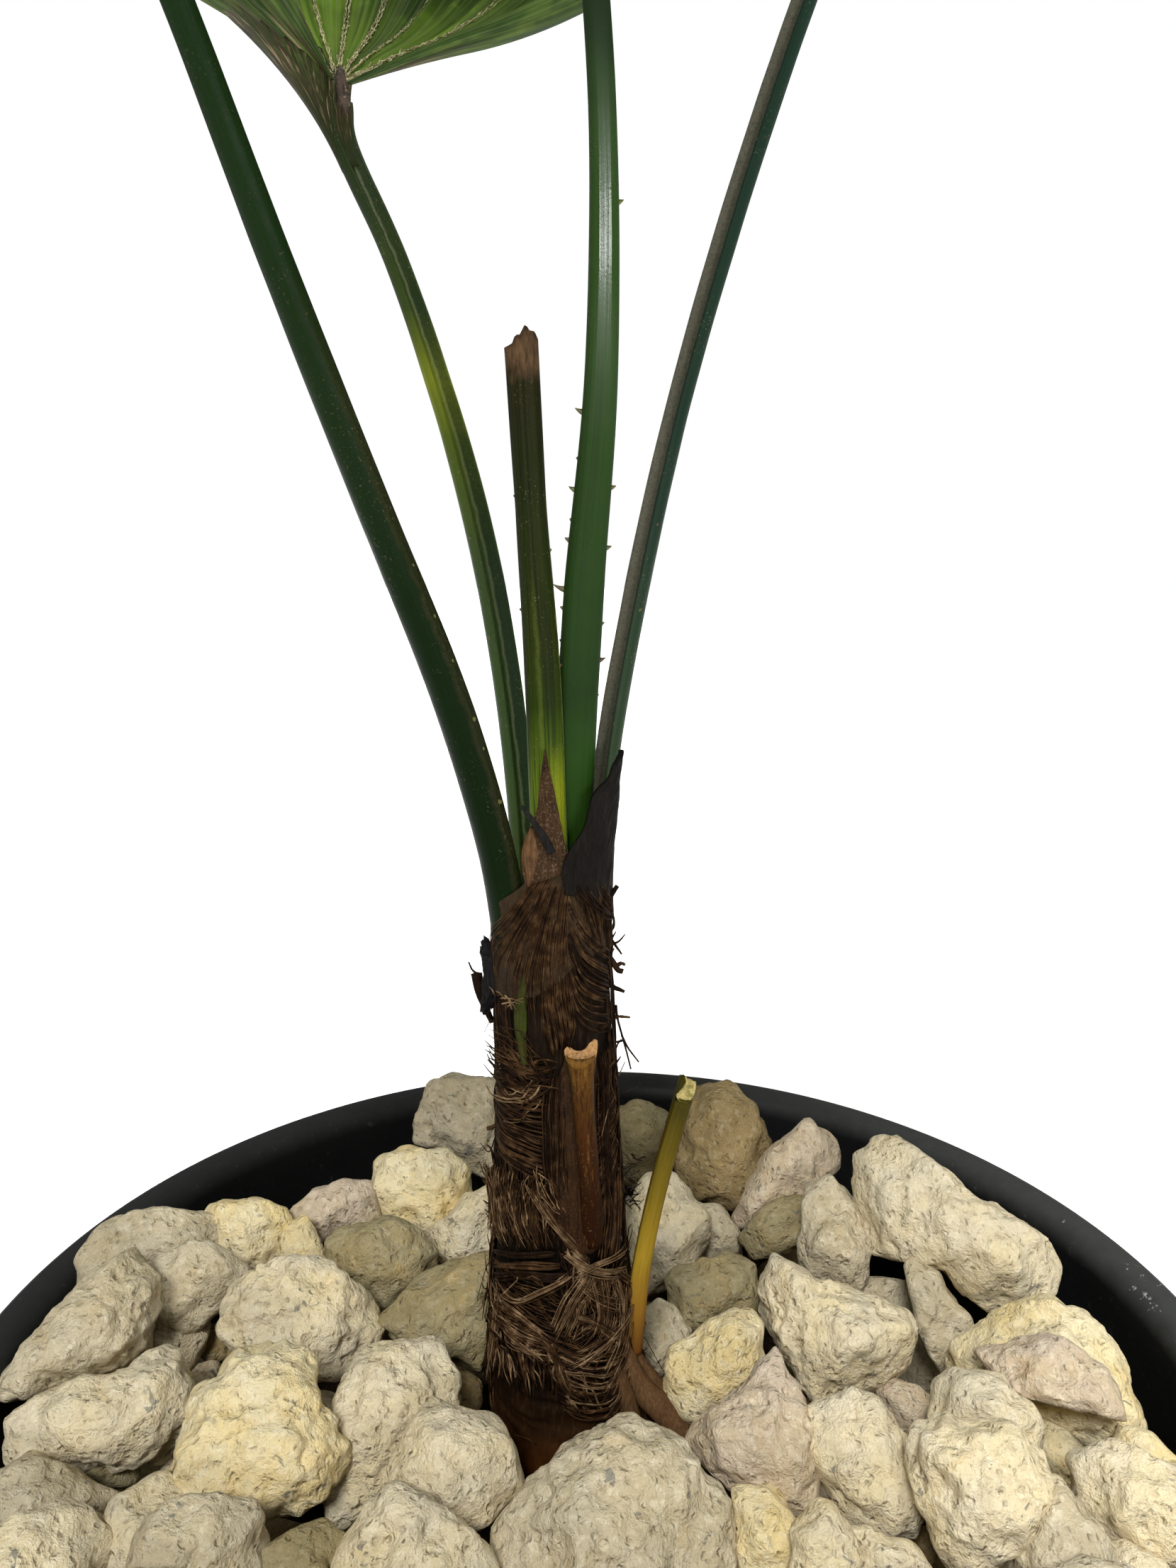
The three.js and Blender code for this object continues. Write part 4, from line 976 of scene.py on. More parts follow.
def trunk_r(z):
    h = np.asarray(z, float) - 150
    stem = 7.4 + 0.0255 * (65 - np.minimum(h, 65))
    flare = 1.5 * np.exp(-h / 19)
    return stem + flare * 6.4 / (6.4 + np.maximum(flare - 2, 0))


def stalk_reach(name, ang, z, extra):
    """How far from the trunk's axis a stalk's base reaches, along a direction at a height (0 where it doesn't)."""
    sp = STALKS[name]
    at, _ = curve(sp["pts"], np.linspace(0, 0.35, 60))
    cx = np.interp(z, at[:, 2], at[:, 0]) - axis_x(z)
    cy = np.interp(z, at[:, 2], at[:, 1])
    r = sp["w"][0] / 2 + extra
    along = cx * np.cos(ang) + cy * np.sin(ang)
    disc = r * r - (cx * cx + cy * cy) + along * along
    return np.where(disc > 0, along + np.sqrt(np.maximum(disc, 0)), 0)


def surf(ang, z, lift=0.0, radius=trunk_r):
    r = radius(z) + lift
    skirt = np.maximum(0, 150 - np.asarray(z, float)) / 32
    r = r * (1 + 0.16 * skirt * np.cos(ang) + 0.05 * skirt * np.sin(3 * ang))
    return np.stack([axis_x(z) + r * np.cos(ang), r * np.sin(ang), z + 0 * r], -1)


def on_trunk(px, py, radius=trunk_r):
    """Angle and height at which the line of sight through a pixel meets the trunk, or passes closest to it."""
    d = ray(px, py)
    z = 190.0
    for _ in range(12):
        r = float(radius(z))
        o = CAM[:2] - (float(axis_x(z)), 0)
        a = d[0] ** 2 + d[1] ** 2
        b = o[0] * d[0] + o[1] * d[1]
        disc = b * b - a * (o @ o - r * r)
        t = (-b - math.sqrt(max(disc, 0))) / a
        z = CAM[2] + d[2] * t
    x, y = CAM[0] + d[0] * t - float(axis_x(z)), CAM[1] + d[1] * t
    return math.atan2(y, x) % (2 * math.pi), z


def az(points, radius=trunk_r):
    return np.array([on_trunk(x, y, radius) for x, y in points])


def smooth_path(ctrl, n):
    """n points on a smooth curve through the control points."""
    c = np.asarray(ctrl, float)
    if len(c) == 2:
        return c[0] + (c[1] - c[0]) * np.linspace(0, 1, n)[:, None]
    e = np.vstack([2 * c[0] - c[1], c, 2 * c[-1] - c[-2]])
    u = np.linspace(0, len(c) - 1, n)
    i = np.minimum(u.astype(int), len(c) - 2)
    f = (u - i)[:, None]
    p0, p1, p2, p3 = e[i], e[i + 1], e[i + 2], e[i + 3]
    return 0.5 * (2 * p1 + (p2 - p0) * f + (2 * p0 - 5 * p1 + 4 * p2 - p3) * f**2 + (3 * p1 - p0 - 3 * p2 + p3) * f**3)


def tube(bag, pts, r, sides=5, mat=0, flat=1.0):
    pts = np.asarray(pts, float)
    t = np.gradient(pts, axis=0)
    t /= np.linalg.norm(t, axis=1)[:, None] + 1e-9
    e = pts - np.stack([axis_x(pts[:, 2]), 0 * pts[:, 2], pts[:, 2]], -1)
    side = np.cross(t, e)
    side /= np.linalg.norm(side, axis=1)[:, None] + 1e-9
    e = np.cross(side, t)
    a = np.arange(sides) / sides * 2 * math.pi
    r = np.broadcast_to(r, (len(pts),))[:, None, None]
    rings = pts[:, None] + r * (np.cos(a)[None, :, None] * side[:, None] + flat * np.sin(a)[None, :, None] * e[:, None])
    v, q, tr, _ = loft(rings)
    bag.add(v, q, tr, mat)


fibres = [Bag(), Bag(), Bag()]          # dark, middle, tan


def strand(path_az, lift, r, tone, taper=(0.5, 0.4), n=12, sides=4, flat=0.75):
    lift = np.interp(np.linspace(0, 1, n), np.linspace(0, 1, len(np.atleast_1d(lift))), np.atleast_1d(lift))
    pz = smooth_path(path_az, n)
    lift = lift + np.where(pz[:, 1] > 196, np.max([np.maximum(0, stalk_reach(s_, pz[:, 0], pz[:, 1], 0.0) - trunk_r(pz[:, 1])) for s_ in ("petiole_left", "petiole_right", "petiole_centre")], axis=0), 0)
    pts = surf(pz[:, 0], pz[:, 1], lift)
    k = np.linspace(0, 1, n)
    rr = r * np.minimum(1, np.minimum(taper[0] + k * 6, taper[1] + (1 - k) * 6))
    tube(fibres[tone], pts, rr, sides, 0, flat)


def family(a, b, n, r, lift=0.12, jit=(2.0, 2.0), tones=(0, 0, 1), trim=0.0, seed=1, free=0.0, steps=12, is_px=True, sides=4, flat=0.75, power=1.0):
    """Strands between two guide curves. jit: wander in px (or in degrees and mm); free: share whose ends stand off."""
    rnd = np.random.RandomState(seed)
    ga, gb = (az(a), az(b)) if is_px else (np.array(a, float), np.array(b, float))
    scale = np.array([0.0105, 0.095]) if is_px else np.array([math.radians(1), 1.0])
    for i in range(n):
        k = np.clip((i + rnd.uniform(-0.6, 1.6)) / max(n - 1, 1), -0.03, 1.03) ** power
        g = ga + (gb - ga) * k
        g = smooth_path(g, 24)
        lo, hi = sorted(rnd.uniform(0, trim, 2) * (1, 1))
        lo, hi = rnd.uniform(0, trim), 1 - rnd.uniform(0, trim)
        idx = np.linspace(lo * 23, hi * 23, 6)
        g = np.stack([np.interp(idx, np.arange(24), g[:, c]) for c in (0, 1)], -1)
        g = g + rnd.normal(size=g.shape) * np.array(jit) * scale * 0.5 + rnd.normal(size=2) * np.array(jit) * scale * 0.5
        rr = rnd.uniform(*r)
        base = lift + rnd.uniform(-0.10, 0.22)
        up = np.full(5, base)
        if rnd.rand() < free:
            up[0] += rnd.uniform(0.4, 1.6)
            up[1] += rnd.uniform(0.0, 0.5)
        else:
            up[0] -= 0.25
        if rnd.rand() < free * 0.5:
            up[-1] += rnd.uniform(0.3, 1.1)
        else:
            up[-1] -= 0.25
        strand(g, up, rr, tones[rnd.randint(len(tones))], n=steps, sides=sides, flat=flat)


# the surface under the fibres
NA, NZ = 216, 250
ang = np.arange(NA) / NA * 2 * math.pi
zz = np.linspace(118.4, 212.5, NZ)
A, Z = np.meshgrid(ang, zz)
q = np.stack([np.cos(A) * 8, np.sin(A) * 8, Z], -1).reshape(-1, 3)
fine = noise(q / (0.55, 0.55, 7.0), 3) * 0.16 + noise(q / (1.1, 1.1, 9.0), 4) * 0.20
lay = noise(np.stack([q[:, 0] / 5 + 0.35 * q[:, 2], q[:, 1] / 5, q[:, 2] / 0.9], -1), 5) * 0.26 + noise(q / (2.2, 2.2, 1.6), 6) * 0.25
rib = noise(q / (1.7, 1.7, 16.0), 8) * 0.55 + noise(q / (0.8, 0.8, 9.0), 9) * 0.16
zq = q[:, 2]
w_top = np.clip((zq - 186) / 8, 0, 1)
w_rib = np.clip((143 - zq) / 6, 0, 1)
disp = (fine * w_top + rib * w_rib + lay * (1 - w_top) * (1 - w_rib) - 0.45 * (1 - w_rib) + 0.28 * noise(q / 6.0, 10)).reshape(A.shape)
disp -= 1.6 * np.clip((Z - 207) / 5.5, 0, 1) ** 2
cover = np.maximum(0, stalk_reach("petiole_left", A, Z, 0.15) - trunk_r(Z)) * np.clip((205 - Z) / 4, 0, 1)
rings = surf(A, Z, disp + cover)
rings[-1] = rings[-1] * (0.55, 0.55, 1) + np.array([axis_x(212.5), 0, 0]) * 0.45
v, qd, tr, uvs = loft(rings)
tk = Shader("trunk_bark", Specular_IOR_Level=0.04)
tv = tk.object_mm()
tz = tk.t.nodes.new("ShaderNodeSeparateXYZ")
tk.t.links.new(tv, tz.inputs[0])
tn = tk.math("MULTIPLY", tk.math("SUBTRACT", tk.noise(tv, 6, 3), 0.5), 9.0)
hgt = tk.math("ADD", tz.outputs[2], tn)
tcol = tk.ramp(tk.step(hgt, 118, 215), [(0.0, lin(98, 52, 16)), (0.16, lin(86, 45, 14)), (0.25, lin(42, 25, 10)), (0.34, lin(10, 6, 4)), (0.66, lin(9, 6, 3)), (0.76, lin(22, 15, 9)), (1.0, lin(28, 20, 13))])
red = tk.math("MULTIPLY", tk.step(tz.outputs[0], 2.0, 8.5), tk.step(tz.outputs[2], 156, 146))
tcol = tk.mix(tk.math("MULTIPLY", red, 0.8), tcol, lin(84, 52, 29))
tgr = tk.noise(tk.object_mm((1, 1, 0.09)), 0.5, 3, 0.6)
tcol = tk.mix(tk.math("MULTIPLY", tk.step(tgr, 0.50, 0.74), 0.45), tcol, lin(66, 47, 29))
tcol = tk.mix(tk.math("MULTIPLY", tk.step(tk.noise(tv, 2.1, 3), 0.56, 0.72), 0.4), tcol, lin(14, 9, 7))
trunk_mat = tk.done(tcol, tk.step(tk.noise(tv, 2.0, 2), 0.3, 0.7, 0.62, 0.85), tk.bump(tgr, 0.22, 0.9))
trunk = mesh_object("trunk_bark", v, qd, tr, [trunk_mat], None, uvs)
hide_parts("trunk")


def plate(name, left, right, rows, cols, lift, thick, mat, radius=trunk_r, wrap=(0.0, 0.0), crown=0.0, grain=0.12, seed=1, cover=None, node=None, frayed=0.0):
    """A thin curved plate on the trunk between two outline curves given in photo pixels."""
    la, ra = smooth_path(az(left, radius), rows), smooth_path(az(right, radius), rows)
    u = np.linspace(0, 1, cols)
    a0 = la[:, :1] - math.radians(wrap[0])
    a1 = ra[:, :1] + math.radians(wrap[1])
    aa = a0 + (a1 - a0) * u[None]
    za = la[:, 1:] + (ra[:, 1:] - la[:, 1:]) * u[None]
    vv = np.linspace(0, 1, rows)[:, None]
    pp = np.stack([u[None] * 40 + 0 * vv, vv * 4 + 0 * u[None], 0 * vv + 0 * u[None]], -1).reshape(-1, 3)
    g = grain * (noise(pp * (max(1.0, cols / 46), 1.2, 1), seed) + 0.6 * noise(pp * (2.1, 2.0, 1), seed + 1)).reshape(aa.shape)
    ctrl = np.broadcast_to(np.asarray(lift, float), (2,))
    up = ctrl[0] + (ctrl[1] - ctrl[0]) * vv + crown * np.sin(math.pi * u)[None] + g
    up = up + 0.35 * noise(np.stack([aa * 3, za / 6, 0 * za], -1).reshape(-1, 3), seed + 4).reshape(aa.shape)
    if cover:
        for stalk in cover:
            need = stalk_reach(stalk, aa, za, 0.35) - radius(za)
            w = 0.8
            up = np.logaddexp(up * w * 4, need * w * 4) / (w * 4)
    if frayed:
        za = za + frayed * (1 - np.minimum(1, vv * 8)) * noise(np.stack([u * 26, 0 * u, 0 * u], -1), seed + 7)[None]
    outer = surf(aa, za, up, radius)
    inner = surf(aa, za, up - thick, radius)
    n = rows * cols
    idx = np.arange(n).reshape(rows, cols)
    def grid(i):
        return np.stack([i[:-1, :-1], i[:-1, 1:], i[1:, 1:], i[1:, :-1]], -1).reshape(-1, 4)
    edge = np.concatenate([idx[0, :-1], idx[:-1, -1], idx[-1, :0:-1], idx[:0:-1, 0]])
    nxt = np.roll(edge, -1)
    quads = np.concatenate([grid(idx)[:, ::-1], grid(idx + n), np.stack([edge, nxt, nxt + n, edge + n], -1)])
    o = mesh_object(name, np.vstack([outer.reshape(-1, 3), inner.reshape(-1, 3)]), quads, None, [mat])
    if node:
        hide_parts(node)
    return o


def husk_material(name, top, low, z0, z1, streak, amount=0.5, scurf=0.0, spec=0.05):
    s = Shader(name, Specular_IOR_Level=spec)
    v = s.object_mm()
    z = s.t.nodes.new("ShaderNodeSeparateXYZ")
    s.t.links.new(v, z.inputs[0])
    h = s.math("ADD", z.outputs[2], s.math("MULTIPLY", s.math("SUBTRACT", s.noise(v, 4, 3), 0.5), 6.0))
    col = s.mix(s.step(h, z0, z1), low, top)
    gr = s.noise(s.object_mm((1, 1, 0.10)), 0.28, 3, 0.65)
    col = s.mix(s.math("MULTIPLY", s.step(gr, 0.44, 0.74), amount), col, streak)
    col = s.mix(s.math("MULTIPLY", s.step(s.noise(v, 2.6, 2), 0.52, 0.70), 0.45), col, lin(16, 11, 9))
    if scurf:
        fl_ = s.math("MULTIPLY", s.step(s.noise(v, 0.33, 2, 0.6), 0.56, 0.62), scurf)
        col = s.mix(fl_, col, lin(176, 156, 132))
    return s.done(col, s.step(gr, 0.3, 0.7, 0.55, 0.8), s.bump(gr, 0.16, 0.9))


HUSK = husk_material("husk_brown", lin(47, 36, 24), lin(27, 18, 10), 194, 214, lin(78, 60, 40), 0.42)
HUSK_DARK = husk_material("husk_dark", lin(17, 15, 13), lin(25, 19, 13), 206, 217, lin(50, 44, 37), 0.34, spec=0.05)
HUSK_PALE = husk_material("husk_pale", lin(84, 59, 38), lin(68, 47, 30), 214, 226, lin(124, 96, 67), 0.7)
HUSK_FRONT = husk_material("husk_front", lin(54, 36, 22), lin(44, 31, 19), 214, 232, lin(84, 65, 42), 0.5, scurf=0.11)
HUSK_RED = husk_material("husk_red", lin(38, 25, 13), lin(36, 17, 7), 160, 188, lin(72, 46, 24), 0.5, scurf=0.03)
GREEN_BASE = husk_material("green_base", lin(44, 49, 15), lin(38, 36, 12), 184, 198, lin(64, 66, 28), 0.4)


def sheath_r(z):
    return np.interp(z, [186, 212, 222, 236], [7.7, 7.55, 8.4, 9.7])


def front_r(z):
    return np.interp(z, [190, 212, 236], [7.9, 8.0, 7.9])


# the main sheath, whose slanting upper edge holds the left stalk
plate("sheath_body", [(694, 1322), (697, 1302), (707, 1283), (722, 1264), (741, 1246), (757, 1226), (772, 1206), (787, 1200), (801, 1208)],
      [(697, 1400), (704, 1404), (716, 1404), (736, 1408), (756, 1404), (774, 1394), (790, 1380), (806, 1364), (822, 1344)], 110, 120, 0.45, 0.45, HUSK,
      grain=0.11, seed=3, cover=["petiole_left"])
plate("sheath_dark_right", [(880, 1061), (868, 1076), (860, 1096), (838, 1121), (832, 1145), (823, 1170), (809, 1192), (798, 1212), (793, 1232), (797, 1262)],
      [(882, 1061), (881, 1080), (877, 1105), (873, 1130), (868, 1160), (862, 1190), (858, 1215), (856, 1235), (856, 1255), (856, 1275)],
      90, 44, (0.1, 0.15), 0.5, HUSK_DARK, radius=sheath_r, wrap=(0, 12), grain=0.14, seed=5, node="sheath_right")
plate("sheath_front_point", [(768, 1057), (764, 1085), (760, 1115), (757, 1142), (748, 1166), (738, 1192), (735, 1216), (742, 1250)],
      [(769, 1057), (776, 1088), (783, 1120), (789, 1150), (794, 1178), (799, 1200), (801, 1214), (798, 1228)], 70, 30, 0.0, 0.45, HUSK_FRONT, radius=front_r, crown=0.4,
      grain=0.16, seed=7, node="sheath_front")
plate("sheath_pale_scrap", [(750, 1166), (740, 1186), (737, 1208), (741, 1232), (744, 1250)],
      [(752, 1166), (757, 1186), (760, 1206), (757, 1228), (748, 1250)], 40, 18, 0.1, 0.4, HUSK_PALE, radius=front_r, crown=0.5, grain=0.16, seed=9)
plate("sheath_body_left", [(693, 1305), (693, 1332), (693, 1362), (694, 1402)],
      [(704, 1292), (705, 1330), (706, 1362), (708, 1402)], 40, 30, (0.40, 0.40), 0.45, HUSK, wrap=(62, 0), grain=0.16, seed=17,
      cover=["petiole_left"])
plate("sheath_body_right", [(794, 1226), (800, 1252), (806, 1292), (812, 1352)],
      [(858, 1214), (859, 1240), (860, 1268), (858, 1334)], 60, 80, (0.30, 0.40), 0.45, HUSK, wrap=(3, 46), grain=0.11, seed=15,
      cover=["petiole_right", "petiole_centre"])
plate("green_stalk_base", [(740, 1374), (733, 1396), (728, 1420), (729, 1450), (734, 1480), (740, 1500)],
      [(742, 1374), (744, 1396), (743, 1420), (743, 1450), (744, 1480), (746, 1500)], 40, 14, 0.28, 0.5, GREEN_BASE, crown=0.25, grain=0.05, seed=11)
plate("green_stalk_edge", [(692, 1425), (692, 1455), (694, 1490), (697, 1520)],
      [(698, 1425), (699, 1455), (700, 1490), (701, 1520)], 30, 8, 0.35, 0.5, GREEN_BASE, wrap=(10, 0), grain=0.04, seed=12)
plate("stub_plate", [(798, 1488), (788, 1520), (781, 1560), (781, 1620), (779, 1690), (784, 1730), (800, 1762)],
      [(838, 1488), (839, 1530), (840, 1580), (842, 1640), (848, 1700), (850, 1735), (842, 1762)], 90, 40, (0.35, 0.25), 0.6, HUSK_RED,
      crown=0.75, grain=0.14, seed=13)


# ------------------------------------------------------------------ cut stubs
def cut_stub(name, look, mats, cut, dish=0.28):
    """A stub whose upper end is cut by the planes in cut: (sideways slope, inward slope, drop) each."""
    sp = STALKS[name]
    rings = stalk_rings(sp, **look)
    sec = section(look["n"], look["keel"], look["channel"], look["back"])
    end = look.get("end", 1.0)
    _, along, wide, deep = stalk_frame(sp["pts"], sp["lean"], np.array([end]))
    rise = np.min([a_ * sec[:, 0] + b_ * sec[:, 1] - c_ for a_, b_, c_ in cut], axis=0) + 0.10 * np.sin(11 * sec[:, 0] + 2)
    rings[-1] += along[0] * rise[:, None]
    rings[-2] += along[0] * np.minimum(rise, 0)[:, None] * 0.6
    w, d = spread(sp["w"], end) / 2, spread(sp["d"], end) * 0.86
    at = curve(sp["pts"], [end])[0][0]
    shrink = []
    for k in (0.94, 0.75, 0.5, 0.22):
        x, y = sec[:, 0] * k, -0.25 + (sec[:, 1] + 0.25) * k
        r = np.min([a_ * x + b_ * y - c_ for a_, b_, c_ in cut], axis=0) - dish * (1 - k) ** 0.6
        ring = at + wide[0] * (x * w)[:, None] + deep[0] * (y * d)[:, None] + along[0] * r[:, None]
        ring = ring + along[0] * (0.08 * noise(ring / 0.5, 21))[:, None]
        shrink.append(ring)
    full = np.concatenate([rings, np.array(shrink)])
    v, q, tr, uvs = loft(full)
    n = look["n"] * 2
    mi = np.zeros(len(q) + len(tr), int)
    mi[(len(rings) - 1) * n:len(q)] = 1
    mi[len(q) + n:] = 1
    o = mesh_object(name + "_body", v, q, tr, mats, mi, uvs)
    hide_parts(name)
    return o


STALKS["cut_stub_front"]["w"] = [3.6, 3.0, 2.8, 2.8, 2.8, 3.1, 4.4]
STALKS["cut_stub_right"]["w"] = [3.6, 2.9, 2.8, 3.1, 3.9]
cutface = Shader("cut_face", Roughness=0.85, Specular_IOR_Level=0.1)
cv_ = cutface.object_mm()
cc = cutface.mix(cutface.step(cutface.noise(cv_, 0.45, 3, 0.7), 0.35, 0.65), lin(130, 92, 54), lin(182, 144, 98))
cc = cutface.mix(cutface.math("MULTIPLY", cutface.step(cutface.voronoi(cv_, 0.42), 0.20, 0.08), 0.6), cc, lin(96, 62, 34))
cutface = cutface.done(cc, None, cutface.bump(cutface.noise(cv_, 0.3, 2), 0.15, 0.9))
paleface = Shader("cut_face_pale", Roughness=0.6, Specular_IOR_Level=0.15)
pv_ = paleface.object_mm()
pc = paleface.mix(paleface.step(paleface.noise(pv_, 0.8, 3, 0.7), 0.35, 0.65), lin(104, 96, 44), lin(176, 160, 104))
paleface = paleface.done(pc, None, paleface.bump(paleface.noise(pv_, 0.4, 2), 0.1, 0.8))

stub_a = stalk_material("stub_front", [(0.0, lin(32, 12, 3)), (0.25, lin(42, 18, 4)), (0.5, lin(60, 32, 7)), (0.74, lin(78, 49, 15)), (0.9, lin(96, 65, 23)), (1.0, lin(116, 82, 36))],
                        scurf=0.5, gloss=0.55, spec=0.06, dashes=(lin(34, 16, 5), 0.62))
cut_stub("cut_stub_front", dict(rows=60, n=20, keel=0.10, channel=0.28, back=0.72), [stub_a, cutface], [(0.5, 3.3, 0.0)], dish=0.45)
stub_b = stalk_material("stub_right", [(0.0, lin(88, 52, 22)), (0.16, lin(134, 96, 34)), (0.34, lin(150, 122, 36)), (0.6, lin(108, 90, 24)), (0.85, lin(62, 54, 9)), (1.0, lin(72, 66, 15))],
                        scurf=0.15, band=[(0.90, 1.0, lin(70, 44, 24), 0.0, 0.8, 0.7), (0.965, 0.995, lin(170, 160, 96), 0.45, 1.0, 0.5)], gloss=0.42, spec=0.08)
cut_stub("cut_stub_right", dict(rows=60, n=20, keel=0.32, channel=0.40, back=0.66), [stub_b, paleface], [(2.2, 1.0, -0.4), (-1.2, 0.6, -1.4)], dish=0.1)

# ------------------------------------------------------------------ fibres
V = "vertical"
family([(702, 1396), (700, 1345), (722, 1290), (752, 1246), (782, 1212)], [(768, 1458), (767, 1390), (772, 1320), (784, 1262), (798, 1214)], 120, (0.045, 0.085), 0.46, (2, 3), (1, 1, 1, 0), 0.25, 21)
family([(770, 1458), (769, 1390), (774, 1320), (786, 1262), (799, 1214)], [(812, 1452), (801, 1385), (798, 1330), (800, 1280), (806, 1236)], 60, (0.05, 0.09), 0.42, (2, 3), (1, 1, 1, 0), 0.2, 22)
family([(798, 1250), (808, 1280), (832, 1318), (858, 1340)], [(802, 1384), (808, 1420), (824, 1446), (858, 1452)], 30, (0.12, 0.22), 0.45, (2, 3), (0, 1, 1), 0.12, 23)
family([(800, 1232), (812, 1262), (836, 1290), (857, 1300)], [(838, 1232), (846, 1252), (852, 1268), (858, 1280)], 12, (0.10, 0.16), 0.75, (2, 3), (0, 0, 1), 0.1, 24)
family([(757, 1372), (760, 1410), (768, 1455), (778, 1500)], [(800, 1390), (806, 1420), (810, 1450), (806, 1480)], 56, (0.05, 0.09), 0.30, (2, 3), (1, 0, 1, 0), 0.2, 25)
family([(700, 1396), (702, 1430), (706, 1470), (712, 1500)], [(724, 1400), (722, 1430), (726, 1465), (734, 1496)], 22, (0.09, 0.18), 0.30, (2, 3), (0, 0, 1), 0.15, 26)
# curved wraps left and right of the front stub
family([(698, 1462), (716, 1486), (744, 1500), (790, 1496)], [(699, 1500), (722, 1530), (748, 1540), (782, 1534)], 46, (0.07, 0.14), 0.32, (6, 9), (0, 0, 1, 1), 0.25, 28, free=0.4)
family([(728, 1440), (742, 1462), (760, 1486), (784, 1510)], [(704, 1450), (716, 1476), (730, 1500), (760, 1526)], 26, (0.05, 0.11), 0.45, (7, 9), (0, 1, 1), 0.3, 29, free=0.5)
family([(812, 1262), (822, 1300), (836, 1352)], [(857, 1286), (860, 1318), (862, 1352)], 44, (0.06, 0.11), 0.42, (3, 4), (0, 1, 0), 0.2, 36)
family([(803, 1238), (810, 1270), (826, 1312)], [(856, 1250), (858, 1280), (860, 1318)], 40, (0.05, 0.10), 0.62, (2, 3), (0, 0, 0, 1), 0.3, 37)
family([(776, 1500), (768, 1570), (770, 1650), (776, 1720)], [(800, 1500), (803, 1580), (806, 1660), (816, 1740)], 46, (0.045, 0.09), 0.62, (3, 4), (0, 0, 1), 0.25, 38)
family([(838, 1470), (842, 1540), (846, 1640), (852, 1730)], [(852, 1470), (856, 1540), (858, 1640), (862, 1720)], 34, (0.05, 0.10), 0.40, (5, 6), (0, 0, 1), 0.3, 39, free=0.3)
family([(700, 1560), (702, 1640), (700, 1700), (704, 1760)], [(776, 1660), (778, 1700), (782, 1740), (790, 1770)], 60, (0.05, 0.10), 0.20, (6, 8), (0, 0, 1), 0.3, 40)
family([(697, 1490), (716, 1520), (745, 1530), (779, 1530)], [(697, 1606), (714, 1636), (744, 1652), (782, 1672)], 50, (0.09, 0.19), 0.18, (2, 3), (0, 1, 1), 0.10, 31, sides=5)
family([(697, 1500), (722, 1530), (748, 1524), (778, 1500)], [(700, 1560), (730, 1580), (756, 1560), (780, 1540)], 12, (0.08, 0.16), 0.30, (4, 6), (1, 1, 2), 0.3, 32, free=0.3)
family([(838, 1560), (850, 1542), (869, 1512)], [(842, 1706), (854, 1676), (871, 1622)], 52, (0.08, 0.15), 0.20, (2, 3), (0, 1, 1), 0.12, 33)
family([(843, 1790), (848, 1730), (852, 1650)], [(868, 1790), (872, 1730), (872, 1640)], 22, (0.10, 0.18), 0.28, (2, 3), (0, 1, 1), 0.2, 34)
family([(838, 1500), (840, 1540), (842, 1580)], [(864, 1450), (867, 1490), (869, 1530)], 18, (0.10, 0.18), 0.30, (3, 4), (0, 0, 1), 0.2, 35, free=0.2)
# brushes at the left
family([(697, 1632), (697, 1690), (708, 1752)], [(772, 1650), (764, 1700), (772, 1756)], 150, (0.05, 0.10), 0.42, (5, 5), (0, 1, 1, 2), 0.22, 41, free=0.35)
family([(690, 1642), (692, 1690), (703, 1745)], [(716, 1640), (712, 1690), (718, 1745)], 50, (0.05, 0.10), 0.75, (4, 5), (1, 1, 2), 0.2, 42, free=0.5)
family([(740, 1660), (770, 1712), (826, 1779)], [(768, 1690), (797, 1734), (832, 1778)], 30, (0.05, 0.10), 0.85, (2, 2), (1, 2, 2), 0.10, 43)
family([(752, 1640), (764, 1690), (790, 1720)], [(772, 1640), (790, 1680), (806, 1706)], 10, (0.08, 0.13), 0.7, (4, 4), (1, 2), 0.2, 44, free=0.3)
# flat wraps under them
family([(697, 1758), (740, 1764), (784, 1762)], [(698, 1806), (740, 1802), (806, 1806)], 14, (0.14, 0.30), 0.30, (2, 2), (0, 1), 0.06, 51, sides=5, flat=0.5)
family([(782, 1760), (800, 1790), (806, 1830)], [(812, 1760), (816, 1790), (812, 1830)], 10, (0.09, 0.16), 0.40, (4, 5), (0, 1, 2), 0.2, 52)
